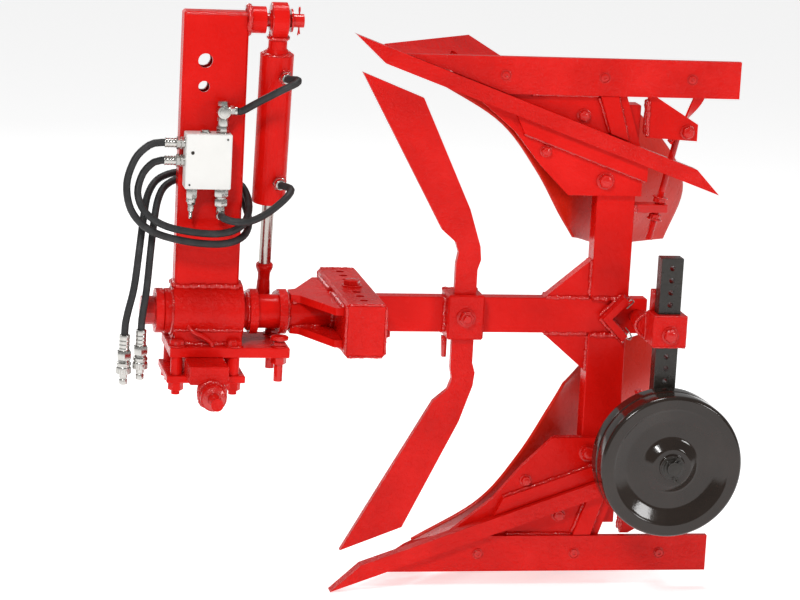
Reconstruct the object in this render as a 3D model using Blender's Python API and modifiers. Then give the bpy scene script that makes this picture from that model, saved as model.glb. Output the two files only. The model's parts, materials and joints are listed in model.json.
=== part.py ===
"""Reversible single-furrow moldboard plough with a hydraulic turnover.

Metres, +Z up.  +X points to the rear of the plough and +Y to the furrow side, where the
moldboards turn the soil.  The origin is the middle of the lower hitch pins.  Every piece is
modelled from the roll axis, about which the plough turns over, so two empties stand there:
one carries the headstock and the other what turns over.
"""

import math

import bmesh
import bpy
from mathutils import Matrix, Vector

# ---- driving dimensions -------------------------------------------------------------------
GAP = 0.0003                    # air between pieces that touch
ROLL_Z = 0.119                  # height of the roll axis over the lower hitch pins

POST_WIDTH = 0.113              # headstock post, along X
POST_DEPTH = 0.040
POST_TOP = 0.530
POST_WALL = 0.008
TOP_LINK_HOLES = ((-0.017, 0.445, 0.0127), (-0.018, 0.400, 0.0098))     # x, z, radius

SHAFT_RADIUS = 0.0300
HOUSING_RADIUS = 0.050
HOUSING_END = 0.0645            # rear face of the pivot housing
COLLAR_RADIUS = 0.0395
COLLAR_END = -0.088             # front face of the housing's collars

BASE_TOP = -0.0520
BASE_THICKNESS = 0.018
BASE_HALF_DEPTH = 0.066
BAR_THICKNESS = 0.0325          # crossbar, between the base plate and the clamp plate
BAR_HALF_LENGTH = 0.137
HITCH_PIN_RADIUS = 0.011
HITCH_PIN_END = 0.210
BASE_BOLTS_X = (-0.0525, 0.0480)
BASE_BOLTS_Y = 0.052
STOP_BOLT_X = 0.128

CYLINDER_X = 0.111              # plane in which the turnover cylinder swings
TOP_PIN_Z = 0.516
CRANK_RADIUS = 0.056            # roll axis to crank pin
CYLINDER_TILT = math.atan2(CRANK_RADIUS, TOP_PIN_Z)
CYLINDER_LENGTH = math.hypot(CRANK_RADIUS, TOP_PIN_Z)
BARREL_RADIUS = 0.0295
BARREL_BORE = 0.0257
BARREL_START, BARREL_END = 0.060, 0.326
ROD_RADIUS = 0.011
EYE_HALF_WIDTH = 0.013
CRANK_PIN_RADIUS = 0.012

BOX_X = (0.226, 0.2975)         # cross box that carries the beam
BOX_Y = (-0.155, 0.158)
BOX_HALF_HEIGHT = 0.047
BOX_WALL = 0.008
BEAM_HALF_HEIGHT = 0.032
BEAM_HALF_WIDTH = 0.0145
BEAM_END = 0.802
SHANK_X = (0.695, 0.765)
SHANK_HALF_DEPTH = 0.019
SHANK_TOP = 0.385

FROG_THICKNESS = 0.012
LANDSIDE_THICKNESS = 0.012
LANDSIDE_Z = (-0.469, -0.403)
LANDSIDE_END = 0.937
POINT_TIP = (0.239, -0.502)     # lower tip of the bar point, x and z
POINT_ANGLE = math.radians(19.8)
POINT_WIDTH = 0.028
POINT_THICKNESS = 0.025
MOLDBOARD_THICKNESS = 0.006
SHARE_THICKNESS = 0.009

WHEEL_X, WHEEL_Z = 0.811, -0.2285
WHEEL_RADIUS = 0.128
WHEEL_Y = (-0.212, -0.134)      # outer and inner face
AXLE_RADIUS = 0.0125
LEG_Y = (-0.129, -0.101)
LEG_HALF_WIDTH = 0.020
LEG_Z = (-0.256, 0.130)
ARM_PIVOT_X = 0.782

HOSE_RADIUS = 0.0065
COUPLER_GAP = 0.0008            # the hose's end face is slightly tilted to its coupler

# ---- materials ----------------------------------------------------------------------------
FINISHES = {
    "red_paint": ((0.62, 0.012, 0.018, 1.0), 0.25, 0.0),
    "black_paint": ((0.012, 0.012, 0.013, 1.0), 0.20, 0.0),
    "white_block": ((0.82, 0.82, 0.80, 1.0), 0.45, 0.0),
    "zinc": ((0.62, 0.60, 0.56, 1.0), 0.32, 1.0),
    "chrome": ((0.72, 0.72, 0.74, 1.0), 0.12, 1.0),
    "hose_rubber": ((0.02, 0.02, 0.022, 1.0), 0.55, 0.0),
}


def finish(name):
    """The named Principled material, made once."""
    found = bpy.data.materials.get(name)
    if found:
        return found
    colour, roughness, metallic = FINISHES[name]
    made = bpy.data.materials.new(name)
    made.use_nodes = True
    shader = made.node_tree.nodes["Principled BSDF"]
    shader.inputs["Base Color"].default_value = colour
    shader.inputs["Roughness"].default_value = roughness
    shader.inputs["Metallic"].default_value = metallic
    return made


# ---- scene --------------------------------------------------------------------------------
for old in list(bpy.data.objects):
    bpy.data.objects.remove(old, do_unlink=True)

PARTS = bpy.data.collections.new("moldboard_plough")
CUTTERS = bpy.data.collections.new("cutters")
bpy.context.scene.collection.children.link(PARTS)
bpy.context.scene.collection.children.link(CUTTERS)


def axis_empty(name, location):
    """An empty on a joint's axis, given from the roll axis, that carries a body's pieces."""
    empty = bpy.data.objects.new(name, None)
    empty.location = Vector(location) + Vector((0, 0, ROLL_Z))
    PARTS.objects.link(empty)
    return empty


HEADSTOCK = axis_empty("headstock_frame", (0, 0, 0))
TURNOVER = axis_empty("turnover_axis", (0, 0, 0))
BARREL_AXIS = axis_empty("cylinder_swing_axis", (CYLINDER_X, 0, TOP_PIN_Z))
ROD_AXIS = axis_empty("rod_eye_axis", (CYLINDER_X, CRANK_RADIUS, 0))
ARM_AXIS = axis_empty("wheel_swing_axis", (ARM_PIVOT_X, 0, 0))
WHEEL_AXIS = axis_empty("wheel_spin_axis", (WHEEL_X, 0, WHEEL_Z))


# ---- shapes, all in coordinates from the roll axis ----------------------------------------
def from_bmesh(name, bm):
    mesh = bpy.data.meshes.new(name)
    bm.to_mesh(mesh)
    bm.free()
    made = bpy.data.objects.new(name, mesh)
    made.location.z = ROLL_Z
    PARTS.objects.link(made)
    return made


def box(name, x, y, z, bevel=0.0):
    """A block between two values on each axis, with its edges bevelled."""
    bm = bmesh.new()
    bmesh.ops.create_cube(bm, size=1.0)
    size = Vector((x[1] - x[0], y[1] - y[0], z[1] - z[0]))
    middle = Vector((x[0] + x[1], y[0] + y[1], z[0] + z[1])) / 2
    bmesh.ops.scale(bm, vec=size, verts=bm.verts)
    bmesh.ops.translate(bm, vec=middle, verts=bm.verts)
    if bevel:
        bmesh.ops.bevel(bm, geom=bm.edges[:], offset=bevel, segments=1, affect="EDGES")
    return from_bmesh(name, bm)


def turn_to(direction):
    """The rotation that takes +Z to a direction."""
    return Vector((0, 0, 1)).rotation_difference(Vector(direction)).to_matrix().to_4x4()


def cone(name, start, end, radius, end_radius, sides=32):
    """A round bar from start to end, tapered if its radii differ."""
    start, end = Vector(start), Vector(end)
    bm = bmesh.new()
    length = (end - start).length
    bmesh.ops.create_cone(
        bm, cap_ends=True, segments=sides, radius1=radius, radius2=end_radius, depth=length
    )
    place = Matrix.Translation((start + end) / 2) @ turn_to(end - start)
    bmesh.ops.transform(bm, matrix=place, verts=bm.verts)
    return from_bmesh(name, bm)


def cylinder(name, start, end, radius, sides=32):
    return cone(name, start, end, radius, radius, sides)


def plate(name, outline, low, high, plane="XZ"):
    """A flat outline given in one plane and extruded across it from low to high."""
    curve = bpy.data.curves.new(name, "CURVE")
    curve.dimensions = "2D"
    curve.fill_mode = "BOTH"
    curve.extrude = (high - low) / 2
    spline = curve.splines.new("POLY")
    spline.points.add(len(outline) - 1)
    for point, (u, v) in zip(spline.points, outline):
        point.co = (u, v, 0, 1)
    spline.use_cyclic_u = True
    drawn = bpy.data.objects.new(name + "_outline", curve)
    PARTS.objects.link(drawn)
    turns = {
        "XZ": Matrix.Rotation(math.radians(90), 4, "X"),
        "YZ": Matrix(((0, 0, 1, 0), (1, 0, 0, 0), (0, 1, 0, 0), (0, 0, 0, 1))),
        "XY": Matrix.Identity(4),
    }
    middle = (high + low) / 2
    shifts = {"XZ": (0, middle, 0), "YZ": (middle, 0, 0), "XY": (0, 0, middle)}
    mesh = evaluated_mesh(drawn)
    mesh.transform(Matrix.Translation(shifts[plane]) @ turns[plane])
    bm = bmesh.new()
    bm.from_mesh(mesh)
    bmesh.ops.remove_doubles(bm, verts=bm.verts, dist=1e-5)
    bmesh.ops.recalc_face_normals(bm, faces=bm.faces)
    bpy.data.objects.remove(drawn)
    return from_bmesh(name, bm)


def turned(name, profile, start, direction, sides=48):
    """A closed profile of (radius, height) pairs turned about a line.

    The profile runs down its outer side and up its inner side.
    """
    mesh = bpy.data.meshes.new(name)
    points = [(radius, 0, height) for radius, height in profile]
    edges = [(i, (i + 1) % len(points)) for i in range(len(points))]
    mesh.from_pydata(points, edges, [])
    made = bpy.data.objects.new(name, mesh)
    PARTS.objects.link(made)
    screw = made.modifiers.new("turn", "SCREW")
    screw.steps = screw.render_steps = sides
    screw.use_merge_vertices = True
    screw.merge_threshold = 0.00002
    solid = evaluated_mesh(made)
    solid.transform(Matrix.Translation(start) @ turn_to(direction))
    bm = bmesh.new()
    bm.from_mesh(solid)
    bmesh.ops.recalc_face_normals(bm, faces=bm.faces)
    bpy.data.objects.remove(made)
    return from_bmesh(name, bm)


def evaluated_mesh(piece):
    bpy.context.view_layer.update()
    graph = bpy.context.evaluated_depsgraph_get()
    return bpy.data.meshes.new_from_object(piece.evaluated_get(graph))


def combine(piece, others, operation):
    """Union the others into a piece, or cut them from it, and keep only the result."""
    for other in others:
        CUTTERS.objects.link(other)
        PARTS.objects.unlink(other)
        boolean = piece.modifiers.new("combine", "BOOLEAN")
        boolean.operation = operation
        boolean.solver = "EXACT"
        boolean.object = other
        mesh = evaluated_mesh(piece)
        piece.modifiers.clear()
        piece.data = mesh
        bpy.data.objects.remove(other)
    return piece


def join(piece, *others):
    return combine(piece, others, "UNION")


def cut(piece, *others):
    return combine(piece, others, "DIFFERENCE")


def place(piece, parent, material):
    """Give a piece its finish, and hang it on its body's empty with its place unchanged."""
    piece.data.materials.clear()
    piece.data.materials.append(finish(material))
    shift = Vector((0, 0, ROLL_Z)) - parent.location
    if piece.type == "MESH":
        piece.data.transform(Matrix.Translation(shift))
        piece.data.shade_smooth()
        piece.data.set_sharp_from_angle(angle=math.radians(35))
        piece.location = (0, 0, 0)
    piece.parent = parent
    return piece


def upper_copy(piece, name):
    """The upper body's piece: a lower one mirrored in the roll axis's horizontal plane."""
    bm = bmesh.new()
    bm.from_mesh(piece.data)
    bmesh.ops.scale(bm, vec=(1, 1, -1), verts=bm.verts)
    bmesh.ops.reverse_faces(bm, faces=bm.faces)
    return place(from_bmesh(name, bm), TURNOVER, piece.data.materials[0].name)


# ---- smooth routes ------------------------------------------------------------------------
def catmull(route, steps=16):
    """Points along a smooth curve through a route's own points."""
    points = [Vector(p) for p in route]
    ends = [2 * points[0] - points[1]] + points + [2 * points[-1] - points[-2]]
    smooth = []
    for a, b, c, d in zip(ends, ends[1:], ends[2:], ends[3:]):
        for i in range(steps):
            t = i / steps
            smooth.append(
                0.5 * (2 * b + (c - a) * t + (2 * a - 5 * b + 4 * c - d) * t * t
                       + (3 * b - a - 3 * c + d) * t ** 3)
            )
    return smooth + [points[-1]]


def evenly(points, spacing):
    """The same curve with points a fixed distance apart."""
    lengths = [(b - a).length for a, b in zip(points, points[1:])]
    count = max(4, round(sum(lengths) / spacing))
    step = sum(lengths) / count
    kept, travelled, target = [points[0]], 0.0, step
    for a, b, length in zip(points, points[1:], lengths):
        while len(kept) < count and travelled + length >= target:
            kept.append(a.lerp(b, (target - travelled) / length))
            target += step
        travelled += length
    return kept + [points[-1]]


def hose(name, route, parent):
    """A rubber tube along a smooth route."""
    points = evenly(catmull(route), HOSE_RADIUS * 4)
    for near, after in ((0, 1), (-1, -2)):
        end = Vector(route[near])
        straight = end + (Vector(route[after]) - end).normalized() * HOSE_RADIUS
        points.insert(1 if near == 0 else len(points) - 1, straight)
    curve = bpy.data.curves.new(name, "CURVE")
    curve.dimensions = "3D"
    curve.bevel_depth = HOSE_RADIUS
    curve.bevel_resolution = 2
    curve.use_fill_caps = True
    spline = curve.splines.new("POLY")
    spline.points.add(len(points) - 1)
    for point, co in zip(spline.points, points):
        point.co = (*co, 1)
    made = bpy.data.objects.new(name, curve)
    PARTS.objects.link(made)
    return place(made, parent, "hose_rubber")


# ---- headstock ----------------------------------------------------------------------------
def headstock_post():
    """The rectangular post with its top-link holes, closed at the top by a welded cap."""
    half = POST_WIDTH / 2
    deep = POST_DEPTH / 2
    foot = HOUSING_RADIUS - 0.004
    post = box("headstock_post", (-half, half), (-deep, deep), (foot, POST_TOP), 0.004)
    inner = box(
        "inside", (-half + POST_WALL, half - POST_WALL), (-deep + POST_WALL, deep - POST_WALL),
        (foot - 0.01, POST_TOP - POST_WALL),
    )
    holes = [
        cylinder("hole", (x, -0.05, z), (x, 0.05, z), radius, 24)
        for x, z, radius in TOP_LINK_HOLES
    ]
    saddle = cylinder("saddle", (-0.1, 0, 0), (0.1, 0, 0), HOUSING_RADIUS + GAP, 64)
    return place(cut(post, inner, *holes, saddle), HEADSTOCK, "red_paint")


def cylinder_bracket():
    """The boss beside the post's top that holds the cylinder's upper pin."""
    start = (POST_WIDTH / 2 + GAP, 0, TOP_PIN_Z)
    boss = cylinder("cylinder_bracket", start, (0.087, 0, TOP_PIN_Z), 0.0235)
    bore = cylinder("bore", (0.05, 0, TOP_PIN_Z), (0.1, 0, TOP_PIN_Z), 0.0125)
    return place(cut(boss, bore), HEADSTOCK, "red_paint")


def cylinder_top_pin():
    """The pin from the boss through the cylinder's upper eye, with its retaining washer."""
    start = (POST_WIDTH / 2 + 0.001, 0, TOP_PIN_Z)
    pin = cylinder("cylinder_top_pin", start, (0.154, 0, TOP_PIN_Z), 0.012)
    washer = cylinder("washer", (0.131, 0, TOP_PIN_Z), (0.134, 0, TOP_PIN_Z), 0.0205)
    return place(join(pin, washer), HEADSTOCK, "red_paint")


def pivot_housing():
    """The tube under the post in which the plough's shaft turns, with its front collars."""
    front = -POST_WIDTH / 2 - 0.002
    groove = (front + COLLAR_END) / 2
    bore = SHAFT_RADIUS + 0.0008
    profile = (
        (HOUSING_RADIUS, HOUSING_END), (HOUSING_RADIUS, front), (COLLAR_RADIUS, front),
        (COLLAR_RADIUS, groove + 0.0015), (COLLAR_RADIUS - 0.003, groove),
        (COLLAR_RADIUS, groove - 0.0015), (COLLAR_RADIUS, COLLAR_END), (bore, COLLAR_END),
        (bore, HOUSING_END),
    )
    housing = turned("pivot_housing", profile, (0, 0, 0), (1, 0, 0), 56)
    return place(housing, HEADSTOCK, "red_paint")


def base_plate():
    """The plate welded under the housing, with the heads and spacers of its four bolts."""
    z = (BASE_TOP - BASE_THICKNESS, BASE_TOP)
    deep = BASE_HALF_DEPTH
    base = box("base_plate", (-0.066, 0.145), (-deep, deep), z, 0.0015)
    for x in BASE_BOLTS_X:
        for y in (-BASE_BOLTS_Y, BASE_BOLTS_Y):
            head = cylinder("head", (x, y, z[1] - 0.002), (x, y, z[1] + 0.010), 0.0135, 6)
            foot = cylinder("spacer", (x, y, z[0] + 0.002), (x, y, z[0] - BAR_THICKNESS), 0.0105, 16)
            base = join(base, head, foot)
    return place(base, HEADSTOCK, "red_paint")


def clamp_plate():
    """The lower plate that clamps the crossbar, with the nuts of the four bolts."""
    top = BASE_TOP - BASE_THICKNESS - BAR_THICKNESS - GAP
    bottom = top - 0.013
    clamp = box("clamp_plate", (-0.070, 0.068), (-0.066, 0.066), (bottom, top), 0.0015)
    for x in BASE_BOLTS_X:
        for y in (-BASE_BOLTS_Y, BASE_BOLTS_Y):
            nut = cylinder("nut", (x, y, bottom + 0.002), (x, y, bottom - 0.014), 0.0135, 6)
            end = cylinder("end", (x, y, bottom - 0.012), (x, y, bottom - 0.022), 0.0075, 12)
            clamp = join(clamp, nut, end)
    return place(clamp, HEADSTOCK, "red_paint")


def hitch_crossbar():
    """The flat bar across the tractor, with a round boss and a lower hitch pin at each end."""
    top = BASE_TOP - BASE_THICKNESS - GAP
    z = (top - BAR_THICKNESS + 2 * GAP, top)
    bar = box("hitch_crossbar", (-0.039, 0.029), (-BAR_HALF_LENGTH, BAR_HALF_LENGTH), z, 0.002)
    for side in (-1, 1):
        boss = cylinder(
            "boss", (0, side * 0.105, -ROLL_Z), (0, side * 0.165, -ROLL_Z), 0.0225
        )
        pin = cylinder(
            "pin", (0, side * 0.15, -ROLL_Z), (0, side * HITCH_PIN_END, -ROLL_Z), HITCH_PIN_RADIUS
        )
        bar = join(bar, boss, pin)
    return place(bar, HEADSTOCK, "red_paint")


def stop_bolt(name, y):
    """An adjustable bolt through the base plate, on which the turnover crank comes to rest."""
    x = STOP_BOLT_X
    head = cylinder(name, (x, y, BASE_TOP + GAP), (x, y, BASE_TOP + 0.0190), 0.0125, 6)
    return place(head, HEADSTOCK, "red_paint")


def stop_bolt_end(name, y):
    """The lower nut and thread of a stop bolt."""
    x = STOP_BOLT_X
    bottom = BASE_TOP - BASE_THICKNESS - GAP
    nut = cylinder(name, (x, y, bottom), (x, y, bottom - 0.012), 0.0140, 6)
    thread = cylinder("thread", (x, y, bottom - 0.010), (x, y, bottom - 0.044), 0.0080, 16)
    return place(join(nut, thread), HEADSTOCK, "red_paint")


# ---- hydraulics ---------------------------------------------------------------------------
BLOCK_X = (-0.050, 0.0295)
BLOCK_Y = (-0.0605, -0.0205)
BLOCK_Z = (0.227, 0.323)
FITTING_Y = -0.0405             # plane of the block's fittings
BANJO_Z = 0.3605
SUPPLY_Z = (0.3045, 0.2735)     # heights of the two supply fittings
SUPPLY_END = -0.0855


def valve_block():
    """The valve block on the post's side, with its fittings, cartridge and plugs."""
    y = FITTING_Y
    block = box("valve_block", BLOCK_X, BLOCK_Y, BLOCK_Z, 0.0015)
    pieces = [
        cylinder("riser", (0.0145, y, 0.321), (0.0145, y, 0.350), 0.0090, 6),
        cylinder("banjo", (0.0145, y - 0.012, BANJO_Z), (0.0145, y + 0.012, BANJO_Z), 0.0135, 20),
        cylinder("outlet", (0.0150, y, 0.362), (0.0380, y, 0.362), 0.0078, 16),
        cylinder("plug", (-0.0150, y, 0.321), (-0.0150, y, 0.328), 0.0095, 16),
        cylinder("cartridge", (-0.0360, y, 0.229), (-0.0360, y, 0.202), 0.0095, 6),
        cylinder("stem", (-0.0360, y, 0.204), (-0.0360, y, 0.172), 0.0040, 12),
        cylinder("nut", (0.0155, y, 0.229), (0.0155, y, 0.193), 0.0130, 6),
        cylinder("neck", (0.0155, y, 0.195), (0.0155, y, 0.172), 0.0080, 16),
        cylinder("elbow", (0.0155, y, 0.180), (0.0155, y - 0.0155, 0.180), 0.0075, 16),
    ]
    for z in SUPPLY_Z:
        pieces.append(cylinder("nut", (-0.048, y, z), (-0.064, y, z), 0.0115, 6))
        pieces.append(cylinder("ferrule", (-0.062, y, z), (SUPPLY_END, y, z), 0.0082, 16))
    return place(join(block, *pieces), HEADSTOCK, "white_block")


# Routes of the hoses, chosen by hand, from the roll axis.
UPPER_HOSE = (
    (0.0385, -0.0405, 0.3620), (0.0470, -0.0405, 0.3620), (0.0700, -0.0560, 0.3790),
    (0.1100, -0.0740, 0.4050), (0.1340, -0.0730, 0.4170), (0.1380, -0.0620, 0.4210),
    (0.1290, -0.0510, 0.4200), (0.1232, -0.0430, 0.4191), (0.1230, -0.0342, 0.4191),
)
LOWER_HOSE = (
    (0.0155, -0.0565, 0.1800), (0.0155, -0.0650, 0.1800), (0.0200, -0.0800, 0.1790),
    (0.0380, -0.0900, 0.1765), (0.0650, -0.0890, 0.1790), (0.0970, -0.0760, 0.1930),
    (0.1270, -0.0590, 0.2140), (0.1380, -0.0430, 0.2260), (0.1300, -0.0300, 0.2290),
    (0.1232, -0.0220, 0.2297), (0.1230, -0.0136, 0.2297),
)
LEFT_SUPPLY = (
    (-0.0860, -0.0405, 0.3045), (-0.0980, -0.0405, 0.3045), (-0.1160, -0.0430, 0.2970),
    (-0.1370, -0.0490, 0.2750), (-0.1500, -0.0550, 0.2320), (-0.1400, -0.0630, 0.1860),
    (-0.1050, -0.0700, 0.1540), (-0.0450, -0.0740, 0.1380), (0.0150, -0.0720, 0.1340),
    (0.0520, -0.0560, 0.1420), (0.0690, -0.0230, 0.1580), (0.0690, 0.0170, 0.1810),
    (0.0540, 0.0450, 0.2060), (0.0130, 0.0520, 0.2250), (-0.0400, 0.0500, 0.2380),
    (-0.0820, 0.0380, 0.2290), (-0.1040, 0.0140, 0.2060), (-0.1140, -0.0120, 0.1680),
    (-0.1220, -0.0340, 0.1150), (-0.1300, -0.0440, 0.0500), (-0.1400, -0.0470, 0.0050),
    (-0.1440, -0.0470, -0.0200), (-0.1440, -0.0470, -0.0330),
)
RIGHT_SUPPLY = (
    (-0.0860, -0.0405, 0.2735), (-0.0950, -0.0405, 0.2735), (-0.1090, -0.0440, 0.2660),
    (-0.1240, -0.0510, 0.2480), (-0.1310, -0.0590, 0.2170), (-0.1180, -0.0670, 0.1870),
    (-0.0850, -0.0710, 0.1650), (-0.0350, -0.0720, 0.1540), (0.0150, -0.0700, 0.1520),
    (0.0500, -0.0570, 0.1620), (0.0675, -0.0270, 0.1830), (0.0685, 0.0110, 0.2060),
    (0.0550, 0.0340, 0.2230), (0.0100, 0.0350, 0.2340), (-0.0350, 0.0340, 0.2330),
    (-0.0710, 0.0240, 0.2200), (-0.0880, 0.0020, 0.1980), (-0.0970, -0.0220, 0.1600),
    (-0.1030, -0.0380, 0.1100), (-0.1080, -0.0450, 0.0500), (-0.1130, -0.0470, 0.0100),
    (-0.1155, -0.0470, -0.0110), (-0.1155, -0.0470, -0.0240),
)


def coupler(name, end):
    """A quick coupler's plug and its crimped ferrule, hanging at a supply hose's end."""
    top = Vector(end) - Vector((0, 0, COUPLER_GAP))
    body = cylinder(name, top, top - Vector((0, 0, 0.0290)), 0.0095, 16)
    steps = (
        (0.028, 0.044, 0.0135, 6), (0.043, 0.051, 0.0110, 16), (0.050, 0.070, 0.0130, 20),
        (0.069, 0.089, 0.0075, 16),
    )
    for low, high, radius, sides in steps:
        step = cylinder(
            "step", top - Vector((0, 0, low)), top - Vector((0, 0, high)), radius, sides
        )
        body = join(body, step)
    return place(body, HEADSTOCK, "zinc")


def along_cylinder(distance, x=CYLINDER_X, across=0.0):
    """A point on the cylinder's line at a distance below the top pin."""
    y = distance * math.sin(CYLINDER_TILT) + across * math.cos(CYLINDER_TILT)
    z = TOP_PIN_Z - distance * math.cos(CYLINDER_TILT) + across * math.sin(CYLINDER_TILT)
    return Vector((x, y, z))


def cylinder_barrel():
    """The barrel with its upper eye, open at the bottom for the rod, and its two ports."""
    eye_x = (CYLINDER_X - EYE_HALF_WIDTH, CYLINDER_X + EYE_HALF_WIDTH)
    top = along_cylinder(0.0)
    barrel = cylinder(
        "cylinder_barrel", along_cylinder(BARREL_START), along_cylinder(BARREL_END), BARREL_RADIUS
    )
    shoulder = cone(
        "shoulder", along_cylinder(0.050), along_cylinder(BARREL_START + 0.002), 0.0170,
        0.0250,
    )
    neck = cylinder("neck", along_cylinder(0.020), along_cylinder(0.052), 0.0165, 24)
    eye = cylinder("eye", (eye_x[0], 0, top.z), (eye_x[1], 0, top.z), 0.0315, 36)
    ports = []
    for distance in (0.0975, 0.288):
        middle = along_cylinder(distance, 0.123)
        ports.append(
            cylinder("port", middle, middle - Vector((0, BARREL_RADIUS + 0.0142, 0)), 0.0100, 16)
        )
    barrel = join(barrel, shoulder, neck, eye, *ports)
    bore = cylinder("bore", along_cylinder(0.185), along_cylinder(BARREL_END + 0.02), BARREL_BORE)
    pin_hole = cylinder("pin_hole", (0.05, 0, top.z), (0.2, 0, top.z), 0.0125)
    return place(cut(barrel, bore, pin_hole), BARREL_AXIS, "red_paint")


def cylinder_rod():
    """The rod with the eye on its lower end, which turns on the crank pin."""
    rod = cylinder(
        "cylinder_rod", along_cylinder(0.262), along_cylinder(0.458), ROD_RADIUS, 24
    )
    weld = cylinder("weld", along_cylinder(0.440), along_cylinder(0.460), 0.0150, 24)
    neck = cylinder("neck", along_cylinder(0.455), along_cylinder(0.505), 0.0120, 20)
    middle = along_cylinder(CYLINDER_LENGTH)
    reach = Vector((EYE_HALF_WIDTH, 0, 0))
    eye = cylinder("eye", middle - reach, middle + reach, 0.0220, 32)
    pin_hole = cylinder("pin_hole", middle - 2 * reach, middle + 2 * reach, 0.0125)
    return place(cut(join(rod, weld, neck, eye), pin_hole), ROD_AXIS, "chrome")


# ---- what turns over: shaft, cross box and beam -------------------------------------------
def roll_shaft():
    """The shaft from the housing's front collar to the cross box."""
    shaft = cylinder(
        "roll_shaft", (COLLAR_END - 0.0005, 0, 0), (BOX_X[0] - GAP, 0, 0), SHAFT_RADIUS, 56
    )
    return place(shaft, TURNOVER, "red_paint")


def shaft_end_nut():
    """The nut that holds the shaft in its housing."""
    start = COLLAR_END - 0.0010
    nut = cylinder("shaft_end_nut", (start, 0, 0), (-0.1125, 0, 0), 0.0255, 24)
    return place(nut, TURNOVER, "red_paint")


def lug_outline():
    """Two round ends, one about the shaft and one about the crank pin, joined by tangents."""
    big, small = 0.0400, 0.0230
    lean = math.asin((big - small) / CRANK_RADIUS)
    outline = []
    for i in range(17):
        turn = math.pi / 2 - lean + (math.pi + 2 * lean) * i / 16
        outline.append((big * math.cos(turn), big * math.sin(turn)))
    for i in range(11):
        turn = -math.pi / 2 + lean + (math.pi - 2 * lean) * i / 10
        outline.append((CRANK_RADIUS + small * math.cos(turn), small * math.sin(turn)))
    return outline


def turnover_crank():
    """Two lugs on the shaft, and the pin between them on which the rod's eye turns."""
    front = (CYLINDER_X - 0.033, CYLINDER_X - 0.019)
    rear = (CYLINDER_X + 0.019, CYLINDER_X + 0.033)
    crank = plate("turnover_crank", lug_outline(), *front, "YZ")
    other = plate("rear_lug", lug_outline(), *rear, "YZ")
    ends = (CYLINDER_X - 0.038, CYLINDER_X + 0.038)
    pin = cylinder(
        "pin", (ends[0], CRANK_RADIUS, 0), (ends[1], CRANK_RADIUS, 0), CRANK_PIN_RADIUS
    )
    bore = cylinder("bore", (0.05, 0, 0), (0.18, 0, 0), SHAFT_RADIUS + GAP, 56)
    return place(cut(join(crank, pin, other), bore), TURNOVER, "red_paint")


def cross_box():
    """The square tube across the plough, along which the beam's bolts can be moved."""
    high = BOX_HALF_HEIGHT
    wall = BOX_WALL
    tube = box("cross_box", BOX_X, BOX_Y, (-high, high), 0.004)
    inner = box(
        "inside", (BOX_X[0] + wall, BOX_X[1] - wall), (BOX_Y[0] + wall, BOX_Y[1] - wall),
        (-high + wall, high - wall),
    )
    middle = sum(BOX_X) / 2
    holes = [
        cylinder("hole", (middle, y, 0), (middle, y, high + 0.01), 0.0075, 16)
        for y in (-0.120, -0.085, -0.050, 0.055, 0.090, 0.125)
    ]
    return place(cut(tube, inner, *holes), TURNOVER, "red_paint")


def box_gusset(name, side):
    """The plate over or under the shaft that braces the cross box's near and far halves."""
    low, high = sorted((side * (SHAFT_RADIUS - 0.008), side * (SHAFT_RADIUS + 0.005)))
    back = BOX_X[0] - GAP
    outline = (
        (0.150, -0.022), (0.165, -0.030), (back - 0.014, -0.130), (back, -0.130), (back, 0.130),
        (back - 0.014, 0.130), (0.165, 0.030), (0.150, 0.022),
    )
    gusset = plate(name, outline, low, high, "XY")
    groove = cylinder("groove", (0.14, 0, 0), (0.24, 0, 0), SHAFT_RADIUS + GAP, 56)
    return place(cut(gusset, groove), TURNOVER, "red_paint")


def beam():
    """The flat bar from the cross box to the two shanks and the wheel arm's pivot."""
    bar = box(
        "beam", (BOX_X[1] + GAP, BEAM_END), (-BEAM_HALF_WIDTH, BEAM_HALF_WIDTH),
        (-BEAM_HALF_HEIGHT, BEAM_HALF_HEIGHT), 0.0015,
    )
    pivot = cylinder("pivot", (ARM_PIVOT_X, -0.1, 0), (ARM_PIVOT_X, 0.1, 0), 0.0128)
    return place(cut(bar, pivot), TURNOVER, "red_paint")


def lower_shank():
    """The upright that carries the lower body."""
    deep = SHANK_HALF_DEPTH
    shank = box(
        "lower_shank", SHANK_X, (-deep, deep), (-SHANK_TOP, -BEAM_HALF_HEIGHT - GAP), 0.0015
    )
    return place(shank, TURNOVER, "red_paint")


def lower_knee_gusset():
    """The triangular plate in the corner between the beam and the lower shank."""
    beam_edge = -BEAM_HALF_HEIGHT - GAP
    corner = SHANK_X[0] - GAP
    outline = ((0.611, beam_edge), (corner, beam_edge), (corner, -0.103))
    return place(plate("lower_knee_gusset", outline, -0.012, 0.012), TURNOVER, "red_paint")


COULTER_Y = (-0.0278, -0.0148)


def coulter_clamp():
    """The clamp around the beam and both coulters' shanks, with its bolt."""
    hold = 0.0005
    clamp = box("coulter_clamp", (0.430, 0.496), (-0.041, 0.0235), (-0.0405, 0.0405), 0.003)
    beam_hole = box(
        "beam_hole", (0.40, 0.53), (-BEAM_HALF_WIDTH - hold, BEAM_HALF_WIDTH + hold),
        (-BEAM_HALF_HEIGHT - hold, BEAM_HALF_HEIGHT + hold),
    )
    shank_hole = box(
        "shank_hole", (0.4420, 0.4825), (COULTER_Y[0] - hold, COULTER_Y[1] + hold), (-0.06, 0.06)
    )
    bolt = cylinder("bolt", (0.463, -0.0395, 0), (0.463, -0.0500, 0), 0.0130, 6)
    thread = cylinder("thread", (0.463, -0.0490, 0), (0.463, -0.0560, 0), 0.0070, 12)
    return place(cut(join(clamp, bolt, thread), beam_hole, shank_hole), TURNOVER, "red_paint")


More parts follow.
